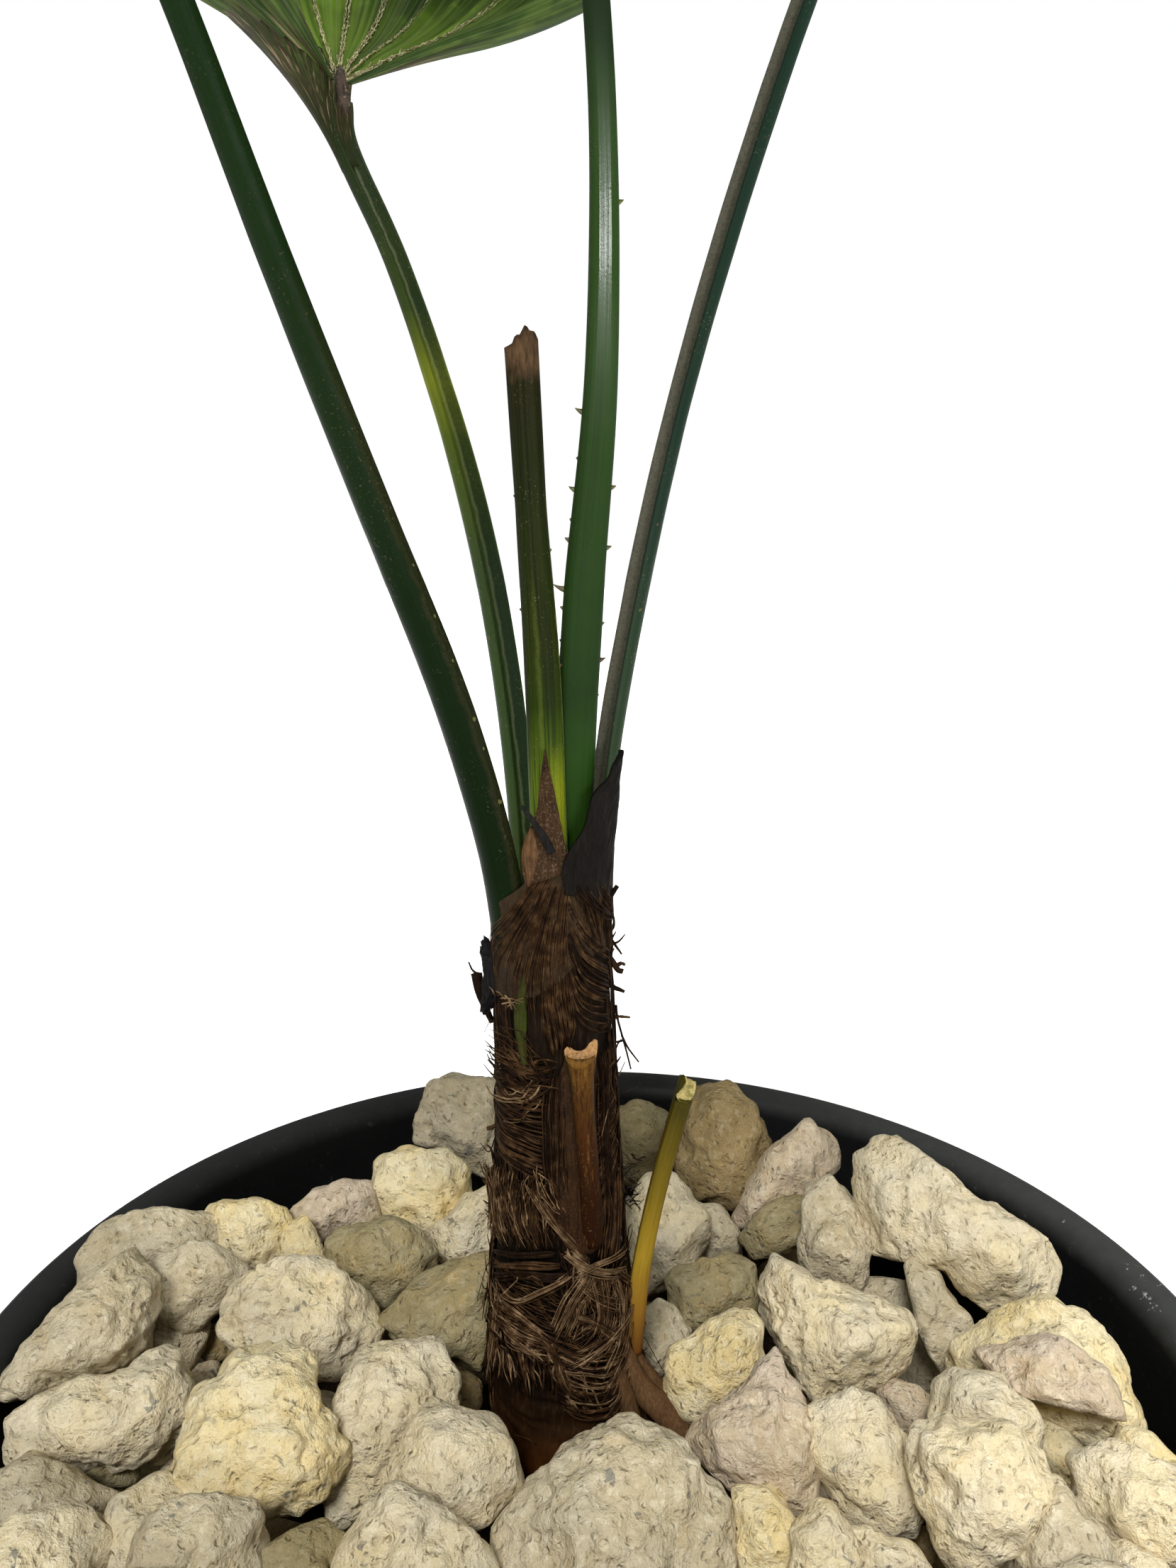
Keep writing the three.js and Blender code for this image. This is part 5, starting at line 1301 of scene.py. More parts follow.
# criss-cross mat
for k, (path, cnt, r, tone, stray) in enumerate([
        ([(800, 1768), (832, 1788), (874, 1792)], 5, 0.16, 2, 4), ([(812, 1800), (840, 1782), (876, 1764)], 4, 0.13, 1, 4),
        ([(698, 1806), (728, 1832), (768, 1818), (806, 1796)], 3, 0.17, 1, 4), ([(704, 1826), (734, 1850), (770, 1880)], 5, 0.15, 1, 5),
        ([(826, 1794), (804, 1828), (784, 1872)], 7, 0.12, 2, 7), ([(834, 1800), (812, 1836), (798, 1876)], 4, 0.12, 1, 7),
        ([(838, 1800), (840, 1840), (838, 1876)], 4, 0.14, 1, 5), ([(848, 1800), (850, 1840), (846, 1880)], 3, 0.13, 1, 5),
        ([(864, 1800), (872, 1840), (868, 1880)], 4, 0.13, 1, 5), ([(800, 1850), (836, 1862), (872, 1890)], 5, 0.12, 1, 6),
        ([(900, 1824), (872, 1872), (806, 1926)], 2, 0.17, 2, 2), ([(884, 1850), (856, 1886), (812, 1910)], 3, 0.13, 1, 5),
        ([(812, 1808), (832, 1828), (866, 1842)], 5, 0.11, 1, 6), ([(700, 1850), (726, 1872), (770, 1892)], 5, 0.15, 1, 5),
        ([(716, 1862), (744, 1890), (762, 1912)], 4, 0.14, 1, 5), ([(800, 1880), (808, 1852), (812, 1836)], 3, 0.12, 2, 3),
        ([(700, 1800), (712, 1840), (740, 1858)], 3, 0.16, 0, 5), ([(868, 1794), (884, 1812), (886, 1840)], 4, 0.14, 1, 3),
        ([(720, 1888), (742, 1900), (764, 1904)], 4, 0.15, 1, 5), ([(876, 1830), (870, 1880), (850, 1940)], 4, 0.13, 1, 6)]):
    rnd = np.random.RandomState(600 + k)
    for i in range(int(cnt * 2.6)):
        off = rnd.normal(size=2) * stray * 0.95
        pts = np.array(path, float) + off + rnd.normal(size=(len(path), 2)) * 1.6
        strand(az(pts), 0.42 + 0.12 * i % 0.5 + np.array([-0.2, rnd.uniform(0, 0.3), rnd.uniform(0, 0.3), -0.2]), r * rnd.uniform(0.42, 0.85), max(tone, rnd.randint(1, 3)), n=14)
family([(697, 1770), (740, 1800), (800, 1830)], [(720, 1880), (790, 1925), (870, 1960)], 44, (0.07, 0.13), 0.22, (8, 9), (0, 1, 1), 0.2, 56)
family([(880, 1770), (840, 1800), (800, 1840)], [(890, 1850), (850, 1900), (790, 1950)], 44, (0.07, 0.13), 0.26, (8, 9), (0, 1, 2), 0.2, 57)
family([(800, 1770), (796, 1830), (780, 1890)], [(880, 1780), (882, 1840), (868, 1900)], 40, (0.06, 0.12), 0.32, (8, 8), (1, 1, 2), 0.2, 58)
family([(772, 1888), (820, 1906), (862, 1908), (888, 1886)], [(792, 1980), (820, 1996), (852, 1994), (882, 1966)], 46, (0.09, 0.17), 0.35, (3, 4), (0, 1, 2), 0.12, 61, sides=5)
family([(884, 1890), (866, 1930), (836, 1985)], [(900, 1900), (884, 1950), (856, 2000)], 12, (0.10, 0.18), 0.50, (4, 5), (1, 1, 2), 0.2, 62)
family([(800, 1920), (828, 1950), (846, 1990)], [(782, 1930), (800, 1970), (818, 1996)], 8, (0.10, 0.16), 0.45, (4, 5), (1, 1, 2), 0.2, 63)
family([(752, 1878), (776, 1898), (790, 1945), (817, 1972)], [(764, 1880), (786, 1904), (800, 1950), (820, 1970)], 9, (0.12, 0.18), 0.75, (2, 2), (1, 2, 2), 0.08, 64)
family([(701, 1800), (694, 1870), (687, 1940)], [(712, 1826), (706, 1880), (700, 1944)], 18, (0.10, 0.18), 0.35, (3, 4), (1, 1, 2), 0.15, 65, free=0.2)
# brown ribs at the foot
family([(694, 1850), (697, 1895), (704, 1946)], [(784, 1884), (790, 1915), (796, 1962)], 44, (0.10, 0.24), 0.05, (4, 5), (0, 1, 1, 2), 0.2, 71, sides=5, flat=0.6, free=0.5)
family([(880, 1850), (884, 1940), (898, 2010)], [(898, 1846), (930, 1950), (978, 2030)], 18, (0.25, 0.45), 0.0, (3, 4), (1, 1, 0), 0.1, 72, sides=6, flat=0.5)
# the sides and back, which the photograph doesn't show, in degrees and mm
R_ = math.radians
family([(R_(-20), 188), (R_(-24), 198), (R_(-22), 211)], [(R_(176), 188), (R_(182), 198), (R_(180), 211)], 120, (0.08, 0.15), 0.20, (2, 1.0), (0, 0, 1), 0.2, 81, is_px=False)
family([(R_(-8), 160), (R_(14), 166), (R_(34), 166)], [(R_(-4), 189), (R_(18), 194), (R_(40), 193)], 34, (0.12, 0.24), 0.20, (3, 0.8), (0, 1, 1), 0.15, 82, is_px=False)
family([(R_(34), 162), (R_(62), 158), (R_(92), 161)], [(R_(36), 193), (R_(66), 188), (R_(96), 190)], 40, (0.13, 0.26), 0.20, (3, 0.8), (0, 1, 1), 0.15, 83, is_px=False)
family([(R_(88), 160), (R_(112), 166), (R_(142), 163)], [(R_(92), 190), (R_(118), 194), (R_(146), 190)], 40, (0.13, 0.26), 0.20, (3, 0.8), (0, 1, 1), 0.15, 84, is_px=False)
family([(R_(138), 166), (R_(162), 160), (R_(186), 158)], [(R_(142), 192), (R_(166), 188), (R_(188), 186)], 38, (0.13, 0.26), 0.20, (3, 0.8), (0, 1, 1), 0.15, 85, is_px=False)
family([(R_(0), 150), (R_(2), 158), (R_(0), 168)], [(R_(178), 150), (R_(182), 158), (R_(180), 168)], 120, (0.08, 0.17), 0.42, (5, 1.5), (0, 1, 1, 2), 0.3, 86, is_px=False, free=0.3)
for k, (a0, a1) in enumerate([(5, 50), (45, 95), (90, 140), (135, 185)]):
    up = 4 if k % 2 else -4
    family([(R_(a0), 138), (R_((a0 + a1) / 2), 138 + up), (R_(a1), 139)], [(R_(a0), 156), (R_((a0 + a1) / 2), 156 + up), (R_(a1), 157)], 22, (0.13, 0.26), 0.35, (5, 1.2), (0, 1, 1), 0.12, 87 + k, is_px=False)
    family([(R_(a0), 137), (R_((a0 + a1) / 2), 148), (R_(a1), 158)], [(R_(a1), 138), (R_((a0 + a1) / 2), 148), (R_(a0), 158)], 16, (0.10, 0.18), 0.60, (8, 2.0), (1, 1, 2), 0.2, 93 + k, is_px=False)
family([(R_(-30), 124), (R_(-14), 132), (R_(-8), 143)], [(R_(212), 124), (R_(196), 132), (R_(188), 143)], 70, (0.26, 0.5), 0.0, (2, 1.0), (0, 0, 1), 0.15, 99, is_px=False, sides=6, flat=0.5)


def at_depth(px, py, y=0.0):
    d = ray(px, py)
    return CAM + d * (y - CAM[1]) / d[1]


def hair(points, r, tone, y=0.0, taper=(1.0, 0.35), sides=5, n=None):
    ctrl = np.array([at_depth(p[0], p[1], p[2] if len(p) > 2 else y) for p in points])
    n = n or 6 * len(points)
    pts = smooth_path(ctrl, n)
    tube(fibres[tone], pts, 1.35 * r * np.linspace(taper[0], taper[1], n), sides)


hair([(849, 1273, -2), (860, 1265), (871, 1250)], 0.40, 0, taper=(1, 0.6))
hair([(854, 1278), (864, 1290), (866, 1306), (859, 1318)], 0.15, 0, taper=(1, 0.7))
hair([(848, 1304, -3), (863, 1326), (877, 1346)], 0.28, 0)
hair([(864, 1332), (873, 1328), (882, 1318)], 0.17, 0)
hair([(862, 1326), (869, 1314)], 0.14, 0, n=5)
hair([(866, 1338), (860, 1350)], 0.10, 0, n=5)
hair([(842, 1334, -3), (860, 1350), (871, 1367), (879, 1370)], 0.36, 1, taper=(1, 0.8))
hair([(869, 1363), (877, 1359), (882, 1361)], 0.26, 1, taper=(1, 0.6))
hair([(848, 1374, -2), (862, 1390), (881, 1399)], 0.40, 0, taper=(1.2, 0.4))
hair([(846, 1452, -4), (862, 1438), (872, 1434), (889, 1435)], 0.28, 1, taper=(1.3, 0.4))
hair([(869, 1418), (871, 1436), (878, 1462), (884, 1484), (890, 1508)], 0.14, 0, taper=(1, 0.6))
hair([(877, 1460), (886, 1478), (901, 1498)], 0.13, 0, taper=(1, 0.6))
hair([(878, 1468), (868, 1470), (857, 1470)], 0.13, 0, taper=(1, 0.7))
hair([(866, 1450, -2), (863, 1458), (862, 1466)], 0.30, 0, taper=(0.6, 0.8))
hair([(860, 1512), (866, 1494), (868, 1476)], 0.16, 0)
hair([(852, 1512, -2), (858, 1480), (860, 1466)], 0.22, 0)
hair([(688, 1495), (695, 1502), (702, 1504)], 0.12, 0, taper=(0.4, 1))
hair([(687, 1592), (694, 1590), (701, 1586)], 0.26, 1, taper=(0.9, 0.9))
hair([(687, 1615), (693, 1622), (697, 1640)], 0.18, 1, taper=(0.4, 1))
hair([(682, 1693), (690, 1699), (699, 1705)], 0.13, 1, taper=(0.4, 1))
hair([(684, 1706), (691, 1712), (700, 1716)], 0.13, 1, taper=(0.4, 1))
hair([(686, 1712), (692, 1722), (700, 1728)], 0.12, 1, taper=(0.4, 1))
hair([(661, 1357), (666, 1368), (673, 1374), (680, 1380)], 0.16, 0, taper=(0.5, 1.2))
hair([(672, 1374), (676, 1398), (684, 1420), (694, 1442)], 0.62, 0, taper=(1.0, 0.5))
strap = Bag()
ctrl = np.array([at_depth(*p) for p in ((735, 1137, -9.4), (744, 1148, -9.6), (757, 1166, -9.8), (769, 1184, -9.8), (778, 1203, -9.2))])
tube(strap, smooth_path(ctrl, 30), 0.40 * np.linspace(0.6, 1.5, 30), 8, 0, 0.6)
o = strap.build("black_strap", [husk_material("husk_strap", lin(22, 22, 21), lin(26, 24, 22), 200, 230, lin(62, 60, 56), 0.4)])
# the root that runs down from the foot at the right
spur = Bag()
for j, (path, r0, r1) in enumerate([([(862, 1842, -4), (880, 1908, -4.5), (908, 1962, -5), (944, 1996, -5.5), (988, 2052, -6)], 1.1, 2.7),
                                    ([(872, 1852, -1), (890, 1904, -2), (924, 1955, -2.5), (966, 2010, -3)], 0.9, 2.0),
                                    ([(850, 1880, -6), (868, 1930, -6.8), (884, 1975, -7.2), (896, 2030, -7.5)], 0.9, 1.7)]):
    ctrl = np.array([at_depth(*p) for p in path])
    tube(spur, smooth_path(ctrl, 44), np.linspace(r0, r1, 44) * (1 + 0.10 * noise(np.stack([np.arange(44) / 6.0, np.full(44, j * 3.1), np.zeros(44)], -1), 71)), 16, 0, 0.8)
o = spur.build("root_flare", [husk_material("husk_root", lin(84, 60, 38), lin(92, 64, 40), 120, 150, lin(126, 98, 68), 0.6)])
for i, (x0, y0, x1, y1) in enumerate([(706, 1408, 738, 1414), (712, 1404, 728, 1424), (716, 1420, 738, 1408), (708, 1416, 734, 1416), (722, 1424, 714, 1404), (700, 1398, 712, 1410), (698, 1404, 690, 1392)]):
    hair([(x0, y0, -7.6), ((x0 + x1) / 2, (y0 + y1) / 2 - 2, -8.3), (x1, y1, -8.4)], 0.085, 2, n=8)
rnd = np.random.RandomState(91)
for i in range(30):          # black rootlets between the trunk and the right stub
    x, y = rnd.uniform(868, 900), rnd.uniform(1630, 1700)
    hair([(x - 6, y + rnd.uniform(-8, 8), -2), (x, y, 1), (x + 9, y + rnd.uniform(-10, 10), 0)], rnd.uniform(0.07, 0.14), 0, n=7, sides=4)
for i in range(46):          # short loose ends all round
    a, z = rnd.uniform(0, 2 * math.pi), rnd.uniform(140, 208)
    if 3.3 < a < 6.1 and rnd.rand() < 0.6:
        continue
    c = surf(np.array([a, a + rnd.normal() * 0.12, a + rnd.normal() * 0.25]), np.array([z, z + rnd.normal() * 1.5, z + rnd.normal() * 3]), np.array([0.0, 0.9, rnd.uniform(1.5, 3.2)]))
    tube(fibres[rnd.randint(3)], smooth_path(c, 7), rnd.uniform(0.07, 0.15) * np.linspace(1, 0.4, 7), 4)


def fibre_material(name, a, b, c):
    s = Shader(name, Specular_IOR_Level=0.05)
    v = s.object_mm()
    col = s.ramp(s.noise(v, 1.6, 3, 0.6), [(0.32, a), (0.5, b), (0.68, c)])
    return s.done(col, s.step(s.noise(v, 0.8, 2), 0.3, 0.7, 0.55, 0.75), s.bump(s.noise(v, 0.16, 2), 0.04, 0.8))


for bag, nm, cols in zip(fibres, ("dark", "brown", "tan"),
                         ((lin(14, 7, 3), lin(25, 14, 7), lin(41, 27, 15)), (lin(32, 19, 9), lin(52, 35, 19), lin(82, 60, 38)), (lin(68, 51, 34), lin(98, 77, 54), lin(140, 116, 87)))):
    o = bag.build("fibres_" + nm, [fibre_material("fibre_" + nm, *cols)])
    print("fibres", nm, bag.count())

# the shrunken black sheath at the left
dirs, faces = ico(5)
rnd_r = 1 + 0.17 * fbm(dirs * 1.7, 2, 51) + 0.16 * noise(dirs * (6, 6, 2.5), 52) + 0.05 * noise(dirs * 14, 53)
blob = dirs * rnd_r[:, None] * (1.5, 1.9, 5.1)
blob[:, 0] += 0.7 * np.cos(blob[:, 2] * 0.45) - 0.35
o = mesh_object("sheath_remnant", blob + (-14.4, -1.2, 205.2), None, faces,
                [husk_material("husk_black", lin(20, 19, 20), lin(15, 14, 14), 198, 208, lin(58, 54, 52), 0.4)])
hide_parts("sheath_remnant_left")

# ------------------------------------------------------------------ blades
BLADES = {
    "blade_left": dict(hub=[-65.95, -39.4, 386.2], face=212, tilt=-6, cup=[36, 20, 2, -14], radius=116, span=132, segments=12, short=0.13, stalk="petiole_left"),
    "blade_back_left": dict(hub=[-38.1, 32, 326.5], face=128, tilt=11.7, cup=[27, 21, 36, 6], radius=94, span=130, segments=11, short=0.3, stalk="petiole_back_left"),
    "blade_centre": dict(hub=[-5.8, -21.1, 438.3], face=282, tilt=4, cup=[36, 22, 4, -12], radius=118, span=140, segments=13, short=0.13, stalk="petiole_centre"),
    "blade_right": dict(hub=[55.5, 42.3, 404.2], face=38, tilt=-4, cup=[36, 20, 2, -14], radius=116, span=132, segments=12, short=0.13, stalk="petiole_right"),
}
# where the photographed blade is split, in degrees from its middle
SPLITS = {"blade_back_left": [-130, -106, -84, -65, -46, -36, -27, -18, -4, 16, 40, 63, 86, 109, 130]}


def jitter(i, j):
    k = math.sin(i * 127.1 + j * 311.7) * 43758.5453
    return k - math.floor(k)


class Fan:
    def __init__(self, hub, face, tilt, cup, radius, span, segments, short, stalk):
        f, t = math.radians(face), math.radians(tilt)
        self.hub = np.array(hub, float)
        self.A = np.array([math.cos(f) * math.cos(t), math.sin(f) * math.cos(t), math.sin(t)])
        self.B = np.array([-math.sin(f), math.cos(f), 0.0])
        self.N = np.cross(self.A, self.B)
        self.cup, self.radius, self.span, self.segments, self.short, self.stalk = cup, radius, span, segments, short, stalk

    def place(self, ang, s, down=0.0):
        """Point at an angle and an arc length from the hub, and the surface's normal there."""
        k = (np.arange(24) + 0.5) / 24
        c = np.radians(np.interp(k * s[..., None], [0, 22, 50, self.radius], self.cup))
        out, up = np.cos(c).mean(-1) * s, np.sin(c).mean(-1) * s
        d = np.cos(ang)[..., None] * self.A + np.sin(ang)[..., None] * self.B
        here = np.radians(np.interp(s, [0, 22, 50, self.radius], self.cup))
        normal = self.N * np.cos(here)[..., None] - d * np.sin(here)[..., None]
        return self.hub + d * out[..., None] + self.N * up[..., None] - normal * np.asarray(down)[..., None], normal


def leaf_material(name, face):
    """face: 0 the upper side, 1 the underside, 2 the fluted foot of the blade."""
    s = Shader(name, Specular_IOR_Level=0.04)
    uv = s.uv()
    sep = s.t.nodes.new("ShaderNodeSeparateXYZ")
    s.t.links.new(uv, sep.inputs[0])
    u, v = sep.outputs[0], sep.outputs[1]
    blot = s.noise(s.uv((42, 7.0, 1)), 1.0, 3, 0.62)
    zone = s.noise(s.uv((15, 2.6, 1)), 1.0, 2, 0.5)
    vein = s.noise(s.uv((900, 1.5, 1)), 1.0, 1, 0.5)
    light, mid, dark = ((lin(92, 120, 34), lin(49, 77, 25), lin(22, 45, 16)), (lin(82, 98, 42), lin(56, 76, 34), lin(36, 55, 25)), (lin(54, 56, 32), lin(37, 41, 22), lin(27, 31, 16)))[face]
    col = s.mix(s.step(blot, 0.42, 0.58), dark, mid)
    col = s.mix(s.math("MULTIPLY", s.step(blot, 0.52, 0.60), s.step(zone, 0.36, 0.56)), col, light)
    near = s.step(v, 0.62, 0.36)
    if face == 0:
        tone = s.mix(s.step(s.noise(s.uv((26, 0.6, 1)), 1.0, 1), 0.40, 0.60), lin(17, 37, 7), lin(86, 112, 18))
        tone = s.mix(s.math("MULTIPLY", s.step(s.noise(s.uv((150, 1.2, 1)), 1.0, 2), 0.40, 0.60), 0.28), tone, lin(100, 120, 40))
        tone = s.mix(s.math("MULTIPLY", s.step(s.noise(s.uv((420, 1.0, 1)), 1.0, 1), 0.46, 0.60), 0.45), tone, lin(30, 52, 14))
        col = s.mix(s.math("MULTIPLY", near, 0.88), col, tone)
    col = s.mix(s.math("MULTIPLY", s.step(vein, 0.44, 0.60), 0.14), col, lin(140, 158, 84))
    if face:
        streak = s.noise(s.uv((170, 3.0, 1)), 1.0, 3, 0.6)
        amount = s.step(v, 0.24, 0.10) if face == 1 else 1.0
        col = s.mix(s.math("MULTIPLY", s.step(streak, 0.50, 0.56), amount), col, lin(58, 44, 36))
        col = s.mix(s.math("MULTIPLY", s.step(s.noise(s.uv((120, 4.0, 1)), 1.0, 2), 0.58, 0.66), amount), col, lin(132, 116, 90))
    if face == 2:
        col = s.mix(s.step(v, 0.60, 0.20, 0.0, 0.85), col, lin(37, 44, 25))
    h = s.math("ADD", s.math("MULTIPLY", vein, 0.5), s.math("MULTIPLY", blot, 0.2))
    return s.done(col, s.step(blot, 0.3, 0.7, 0.36, 0.50), s.bump(h, 0.05, 0.6))


LEAF_TOP, LEAF_BACK, LEAF_FOOT = (leaf_material(n, k) for k, n in enumerate(("leaf_upper", "leaf_under", "leaf_foot")))
fringe = Shader("leaf_fringe", Roughness=0.8, Specular_IOR_Level=0.2)
fringe = fringe.done(fringe.mix(fringe.step(fringe.noise(fringe.object_mm(), 0.9, 3), 0.35, 0.65), lin(112, 100, 60), lin(198, 190, 148)), None)
crest = Shader("hastula", Specular_IOR_Level=0.25)
hv = crest.object_mm()
cr = crest.mix(crest.step(crest.noise(hv, 1.2, 3, 0.6), 0.35, 0.62), lin(36, 26, 22), lin(68, 53, 42))
crest = crest.done(crest.mix(crest.step(crest.noise(hv, 0.5, 2), 0.60, 0.68), cr, lin(112, 100, 74)), 0.7, crest.bump(crest.noise(hv, 0.4, 2), 0.12, 0.8))

THICK, FOLD, PLEAT = 0.36, 0.05, 0.27
for name, spec in BLADES.items():
    fan = Fan(**spec)
    bounds = np.radians(SPLITS[name]) if name in SPLITS else np.linspace(-math.radians(fan.span), math.radians(fan.span), fan.segments + 1)
    bag = Bag()
    fr = Bag()
    uvs, split_edges = [], []
    for i in range(len(bounds) - 1):
        a0, a1 = bounds[i], bounds[i + 1]
        half, mid = (a1 - a0) / 2, (a0 + a1) / 2
        side = mid / math.radians(fan.span)
        seg = fan.radius * (1 - fan.short * side * side) * (0.955 + 0.05 * jitter(i, len(bounds) - 1))
        pleats = 3 if half > math.radians(8.5) else 2
        cols = pleats * 4 + 1
        x = np.linspace(-1, 1, cols)
        phase = (x + 1) / 2 * pleats
        wave = np.abs(2 * (phase - np.floor(phase)) - 1)           # 1 on the ridges, 0 in the folds
        tooth = np.where(wave > 0.9, 1.0, np.where(wave < 0.1, 0.55, 0.0))
        notch = np.array([jitter(i * 31 + j, 7) for j in range(cols)])
        reach = seg - 3.4 * (1 - tooth) * (0.7 + 0.6 * notch) - 2.2 * np.abs(x) ** 3
        reach[0] -= 1.5
        reach[-1] -= 1.5
        rows = 36
        k = np.linspace(0, 1, rows)[:, None] ** 1.15
        s_ = 1.2 + (reach[None] - 1.2) * k
        gap = np.where(s_ > 4, 0.02 + 0.004 * (s_ - 4) + 0.0115 * np.maximum(0, s_ - 42), 0.0)
        wide = half - gap / np.maximum(s_, 1)
        ang_ = mid + x[None] * wide
        w_mm = 2 * half * s_
        fold = w_mm * (FOLD * (1 - np.abs(x[None])) * np.where(s_ > 70, 1 - 0.4 * (s_ - 70) / 48, 1) - 0.95 * (FOLD + PLEAT / 3))
        pl = w_mm / pleats * PLEAT * (1 - wave[None] ** 0.9)
        drift = 0.9 * np.sin(s_ / 13 + i * 1.7) * (s_ / fan.radius) ** 1.5 * (0.4 + 0.6 * x[None])
        P, nrm = fan.place(ang_, s_, fold + pl + drift - 0.3)
        tu = np.gradient(P, axis=1)
        tv_ = np.gradient(P, axis=0)
        n_ = np.cross(tv_, tu)
        n_ /= np.linalg.norm(n_, axis=-1)[..., None] + 1e-12
        n_ *= np.sign((n_ * nrm).sum(-1))[..., None]
        top, low = P, P - n_ * THICK
        n = rows * cols
        idx = np.arange(n).reshape(rows, cols)
        def grid(g):
            return np.stack([g[:-1, :-1], g[:-1, 1:], g[1:, 1:], g[1:, :-1]], -1).reshape(-1, 4)
        u = (ang_ + math.radians(fan.span)) / (2 * math.radians(fan.span))
        vv = s_ / (fan.radius * 1.02)
        uv_top = np.stack([0.01 + 0.47 * u, vv], -1).reshape(-1, 2)
        uv_low = np.stack([0.52 + 0.47 * u, vv], -1).reshape(-1, 2)
        uv_all = np.vstack([uv_top, uv_low])
        edge = np.concatenate([idx[0, :-1], idx[:-1, -1], idx[-1, :0:-1], idx[:0:-1, 0]])
        nxt = np.roll(edge, -1)
        f_top, f_low = grid(idx)[:, ::-1], grid(idx + n)
        f_edge = np.stack([edge, nxt, nxt + n, edge + n], -1)
        verts = np.vstack([top.reshape(-1, 3), low.reshape(-1, 3)])
        # the right way out: upper faces along the fan's own normal
        t0 = f_top[len(f_top) // 2]
        if np.cross(verts[t0[1]] - verts[t0[0]], verts[t0[2]] - verts[t0[0]]) @ nrm[rows // 2, cols // 2] < 0:
            f_top, f_low, f_edge = f_top[:, ::-1], f_low[:, ::-1], f_edge[:, ::-1]
        bag.add(verts, f_top, None, 0)
        uvs.append(uv_all[f_top].reshape(-1, 2))
        off = np.vstack([f_low, f_edge])
        bag.q.append(off + bag.n - len(verts))
        bag.qm.append(np.full(len(off), 1))
        edge_uv = np.concatenate([uv_low, uv_low])
        uvs.append(edge_uv[off].reshape(-1, 2))
        split_edges.append((P[:, 0], n_[:, 0], s_[:, 0], i > 0))
        split_edges.append((P[:, -1], n_[:, -1], s_[:, -1], i < len(bounds) - 2))
    o = bag.build(name + "_fan", [LEAF_TOP, LEAF_BACK], uv=np.vstack(uvs))
    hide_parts(name)
    # frayed edges beside the hub
    rnd = np.random.RandomState(len(name) * 7)
    for e_i, (pe, ne, se, inner) in enumerate(split_edges):
        for strand_ in range(3 if inner else 1):
            reach = rnd.uniform(30, 72) if inner else 14
            u = np.linspace(1.4, reach, 54)
            pts = np.stack([np.interp(u, se, pe[:, c]) for c in range(3)], -1)
            nn = np.stack([np.interp(u, se, ne[:, c]) for c in range(3)], -1)
            pts = pts + nn * (0.05 + 0.20 * np.abs(rnd.normal(size=54)))[:, None] + rnd.normal(size=(54, 3)) * 0.10
            tube(fr, pts, 0.076 * (0.25 + rnd.rand(54)) * np.minimum(1, (reach - u) / 20 + 0.25), 4)
    o = fr.build(name + "_fringe", [fringe])
    # the foot: flutes that spread from the stalk's end to the underside
    st = STALKS[fan.stalk]
    start = 0.85 if name == "blade_back_left" else 0.95
    at, along, wide, deep = stalk_frame(st["pts"], st["lean"], np.array([start]))
    at, along, wide, deep = at[0], along[0], wide[0], deep[0]
    n = 96
    th = (np.arange(n) + 0.5) / n * 2 * math.pi - math.pi
    w, d = spread(st["w"], start) / 2, spread(st["d"], start) * 0.86
    sx = wide if wide @ fan.B > 0 else -wide
    ring0 = at + sx * (np.sin(th) * w * 1.02)[:, None] - deep * (np.where(np.cos(th) > 0, 0.66, 0.15) * np.cos(th) * d * 1.02)[:, None]
    sp = math.radians(fan.span)
    mid_th = math.radians(35 if name == "blade_back_left" else 0)
    inside = np.clip((math.radians(95) - np.abs(th - mid_th)) / math.radians(50), 0, 1) * np.clip((sp - np.abs(th)) / math.radians(20), 0, 1)
    sf = 2.3 + (17.0 if name == "blade_back_left" else 12.0) * inside ** 1.4
    seg_i = np.clip(np.searchsorted(bounds, th) - 1, 0, len(bounds) - 2)
    ph = (th - bounds[seg_i]) / (bounds[seg_i + 1] - bounds[seg_i])
    wv = np.abs(2 * ((ph * 3) % 1) - 1)
    w_f = (bounds[seg_i + 1] - bounds[seg_i]) * sf
    ring1, nr = fan.place(th, sf, np.where(np.abs(th) < sp, THICK * 0.6 + w_f * (FOLD * (1 - np.abs(2 * ph - 1)) + PLEAT / 3 * (1 - wv**0.9) - 0.95 * (FOLD + PLEAT / 3)) - 0.3, 0.3))
    dist = float(np.linalg.norm(fan.hub - at))
    kk = np.linspace(0, 1, 16)[:, None, None]
    ctrl = ring0 + along * dist * (0.5 + (0.75 if name == "blade_back_left" else 0.3) * inside[:, None])
    rings = (1 - kk) ** 2 * ring0 + 2 * kk * (1 - kk) * ctrl + kk**2 * ring1
    out = rings - (at + along * dist * kk)
    out /= np.linalg.norm(out, axis=-1)[..., None] + 1e-9
    rings = rings - out * (0.22 * np.sin(math.pi * kk[..., 0]) * (1 - wv[None]) * inside[None])[..., None]
    cap = fan.hub + fan.N * 0.4 + (rings[-1] - fan.hub) * 0.5
    rings = np.concatenate([rings, cap[None]])
    v, q, tr, uvf = loft(rings)
    o = mesh_object(name + "_foot", v, q, tr, [LEAF_FOOT], None, uvf)
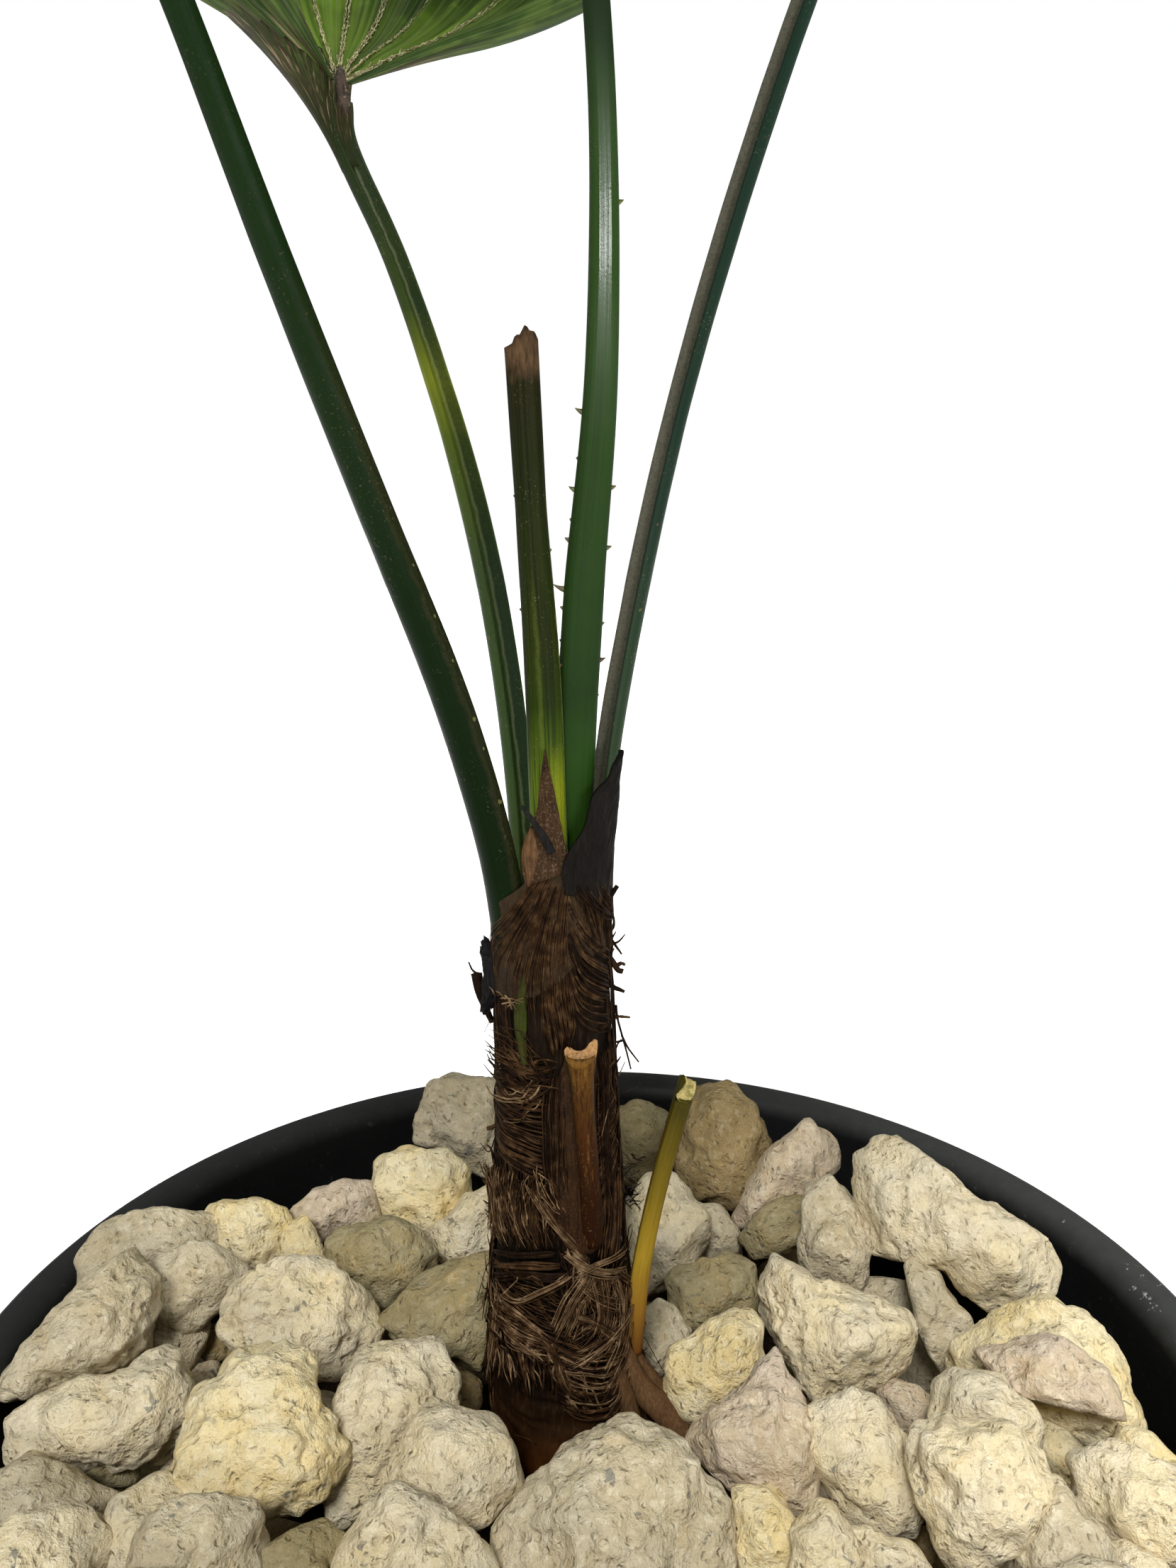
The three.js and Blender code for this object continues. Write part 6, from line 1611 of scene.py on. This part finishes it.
    # the crest at the inner side of the stalk's end
    dirs, faces = ico(4)
    lump = 1 + 0.22 * fbm(dirs * 1.6, 2, 61) + 0.10 * noise(dirs * (5, 5, 2.2), 62)
    b = dirs * lump[:, None] * (0.85, 1.15, 3.9) * (0.95 if name == "blade_back_left" else 0.8)
    b[:, 0] -= 0.55 * np.exp(-(b[:, 1] / 0.4) ** 2 - (b[:, 2] / 1.6) ** 2)
    c = at + along * (dist - 1.9) + deep * 1.5
    if name == "blade_back_left":
        c = CAM + ray(483.5, 128) * ((fan.hub - CAM) @ FWD - 2.5)
        top = CAM + ray(478, 91) * ((fan.hub - CAM) @ FWD - 2.0)
        along = (top - c) / np.linalg.norm(top - c)
        deep = (CAM - c) / np.linalg.norm(CAM - c)
        deep = deep - along * (deep @ along)
        wide = np.cross(along, deep)
    world = c + b[:, :1] * deep + b[:, 1:2] * wide + b[:, 2:] * along
    o = mesh_object(name + "_crest", world, None, faces, [crest])

# ------------------------------------------------------------------ floor and light
fl = Shader("floor", Roughness=0.9, Specular_IOR_Level=0.1)
fl = fl.done(fl.mix(fl.step(fl.noise(fl.object_mm(), 400, 1), 0.3, 0.7), lin(243, 243, 242), lin(247, 247, 246)))
floor = mesh_object("floor", [(-9000, -9000, 0), (9000, -9000, 0), (9000, 9000, 0), (-9000, 9000, 0)], [(0, 1, 2, 3)], None, [fl], body=None)

world = bpy.data.worlds.new("world")
bpy.context.scene.world = world
world.use_nodes = True
wt = world.node_tree
bg = wt.nodes["Background"]
path = wt.nodes.new("ShaderNodeLightPath")
glow = wt.nodes.new("ShaderNodeMapRange")
glow.inputs["To Min"].default_value = 0.25
glow.inputs["To Max"].default_value = 1.0
wt.links.new(path.outputs["Is Camera Ray"], glow.inputs["Value"])
wt.links.new(glow.outputs[0], bg.inputs[1])
bg.inputs[0].default_value = (1.0, 1.0, 1.0, 1)


def area(name, at, to, size, power, color=(1, 1, 1)):
    d = bpy.data.lights.new(name, "AREA")
    d.shape = "RECTANGLE"
    d.size, d.size_y = size
    d.energy = power
    d.color = color
    o = bpy.data.objects.new(name, d)
    bpy.context.scene.collection.objects.link(o)
    z = np.array(at, float) - np.array(to, float)
    z /= np.linalg.norm(z)
    x = np.cross((0, 1, 0) if abs(z[2]) > 0.9 else (0, 0, 1), z)
    x /= np.linalg.norm(x)
    y = np.cross(z, x)
    o.matrix_world = Matrix([[x[i], y[i], z[i], at[i]] for i in range(3)] + [[0, 0, 0, 1]])
    return o


for name, angle, energy, turn in (("overhead", 26, 3.2, (8, 6)), ("key", 16, 2.6, (42, -10))):
    sun = bpy.data.lights.new(name, "SUN")
    sun.angle = math.radians(angle)
    sun.energy = energy
    so = bpy.data.objects.new(name, sun)
    bpy.context.scene.collection.objects.link(so)
    so.rotation_euler = (math.radians(turn[0]), math.radians(turn[1]), 0)
area("glint", (0.375, -1.05, 0.365), (0, 0.0, 0.36), (0.26, 0.09), 4.4)
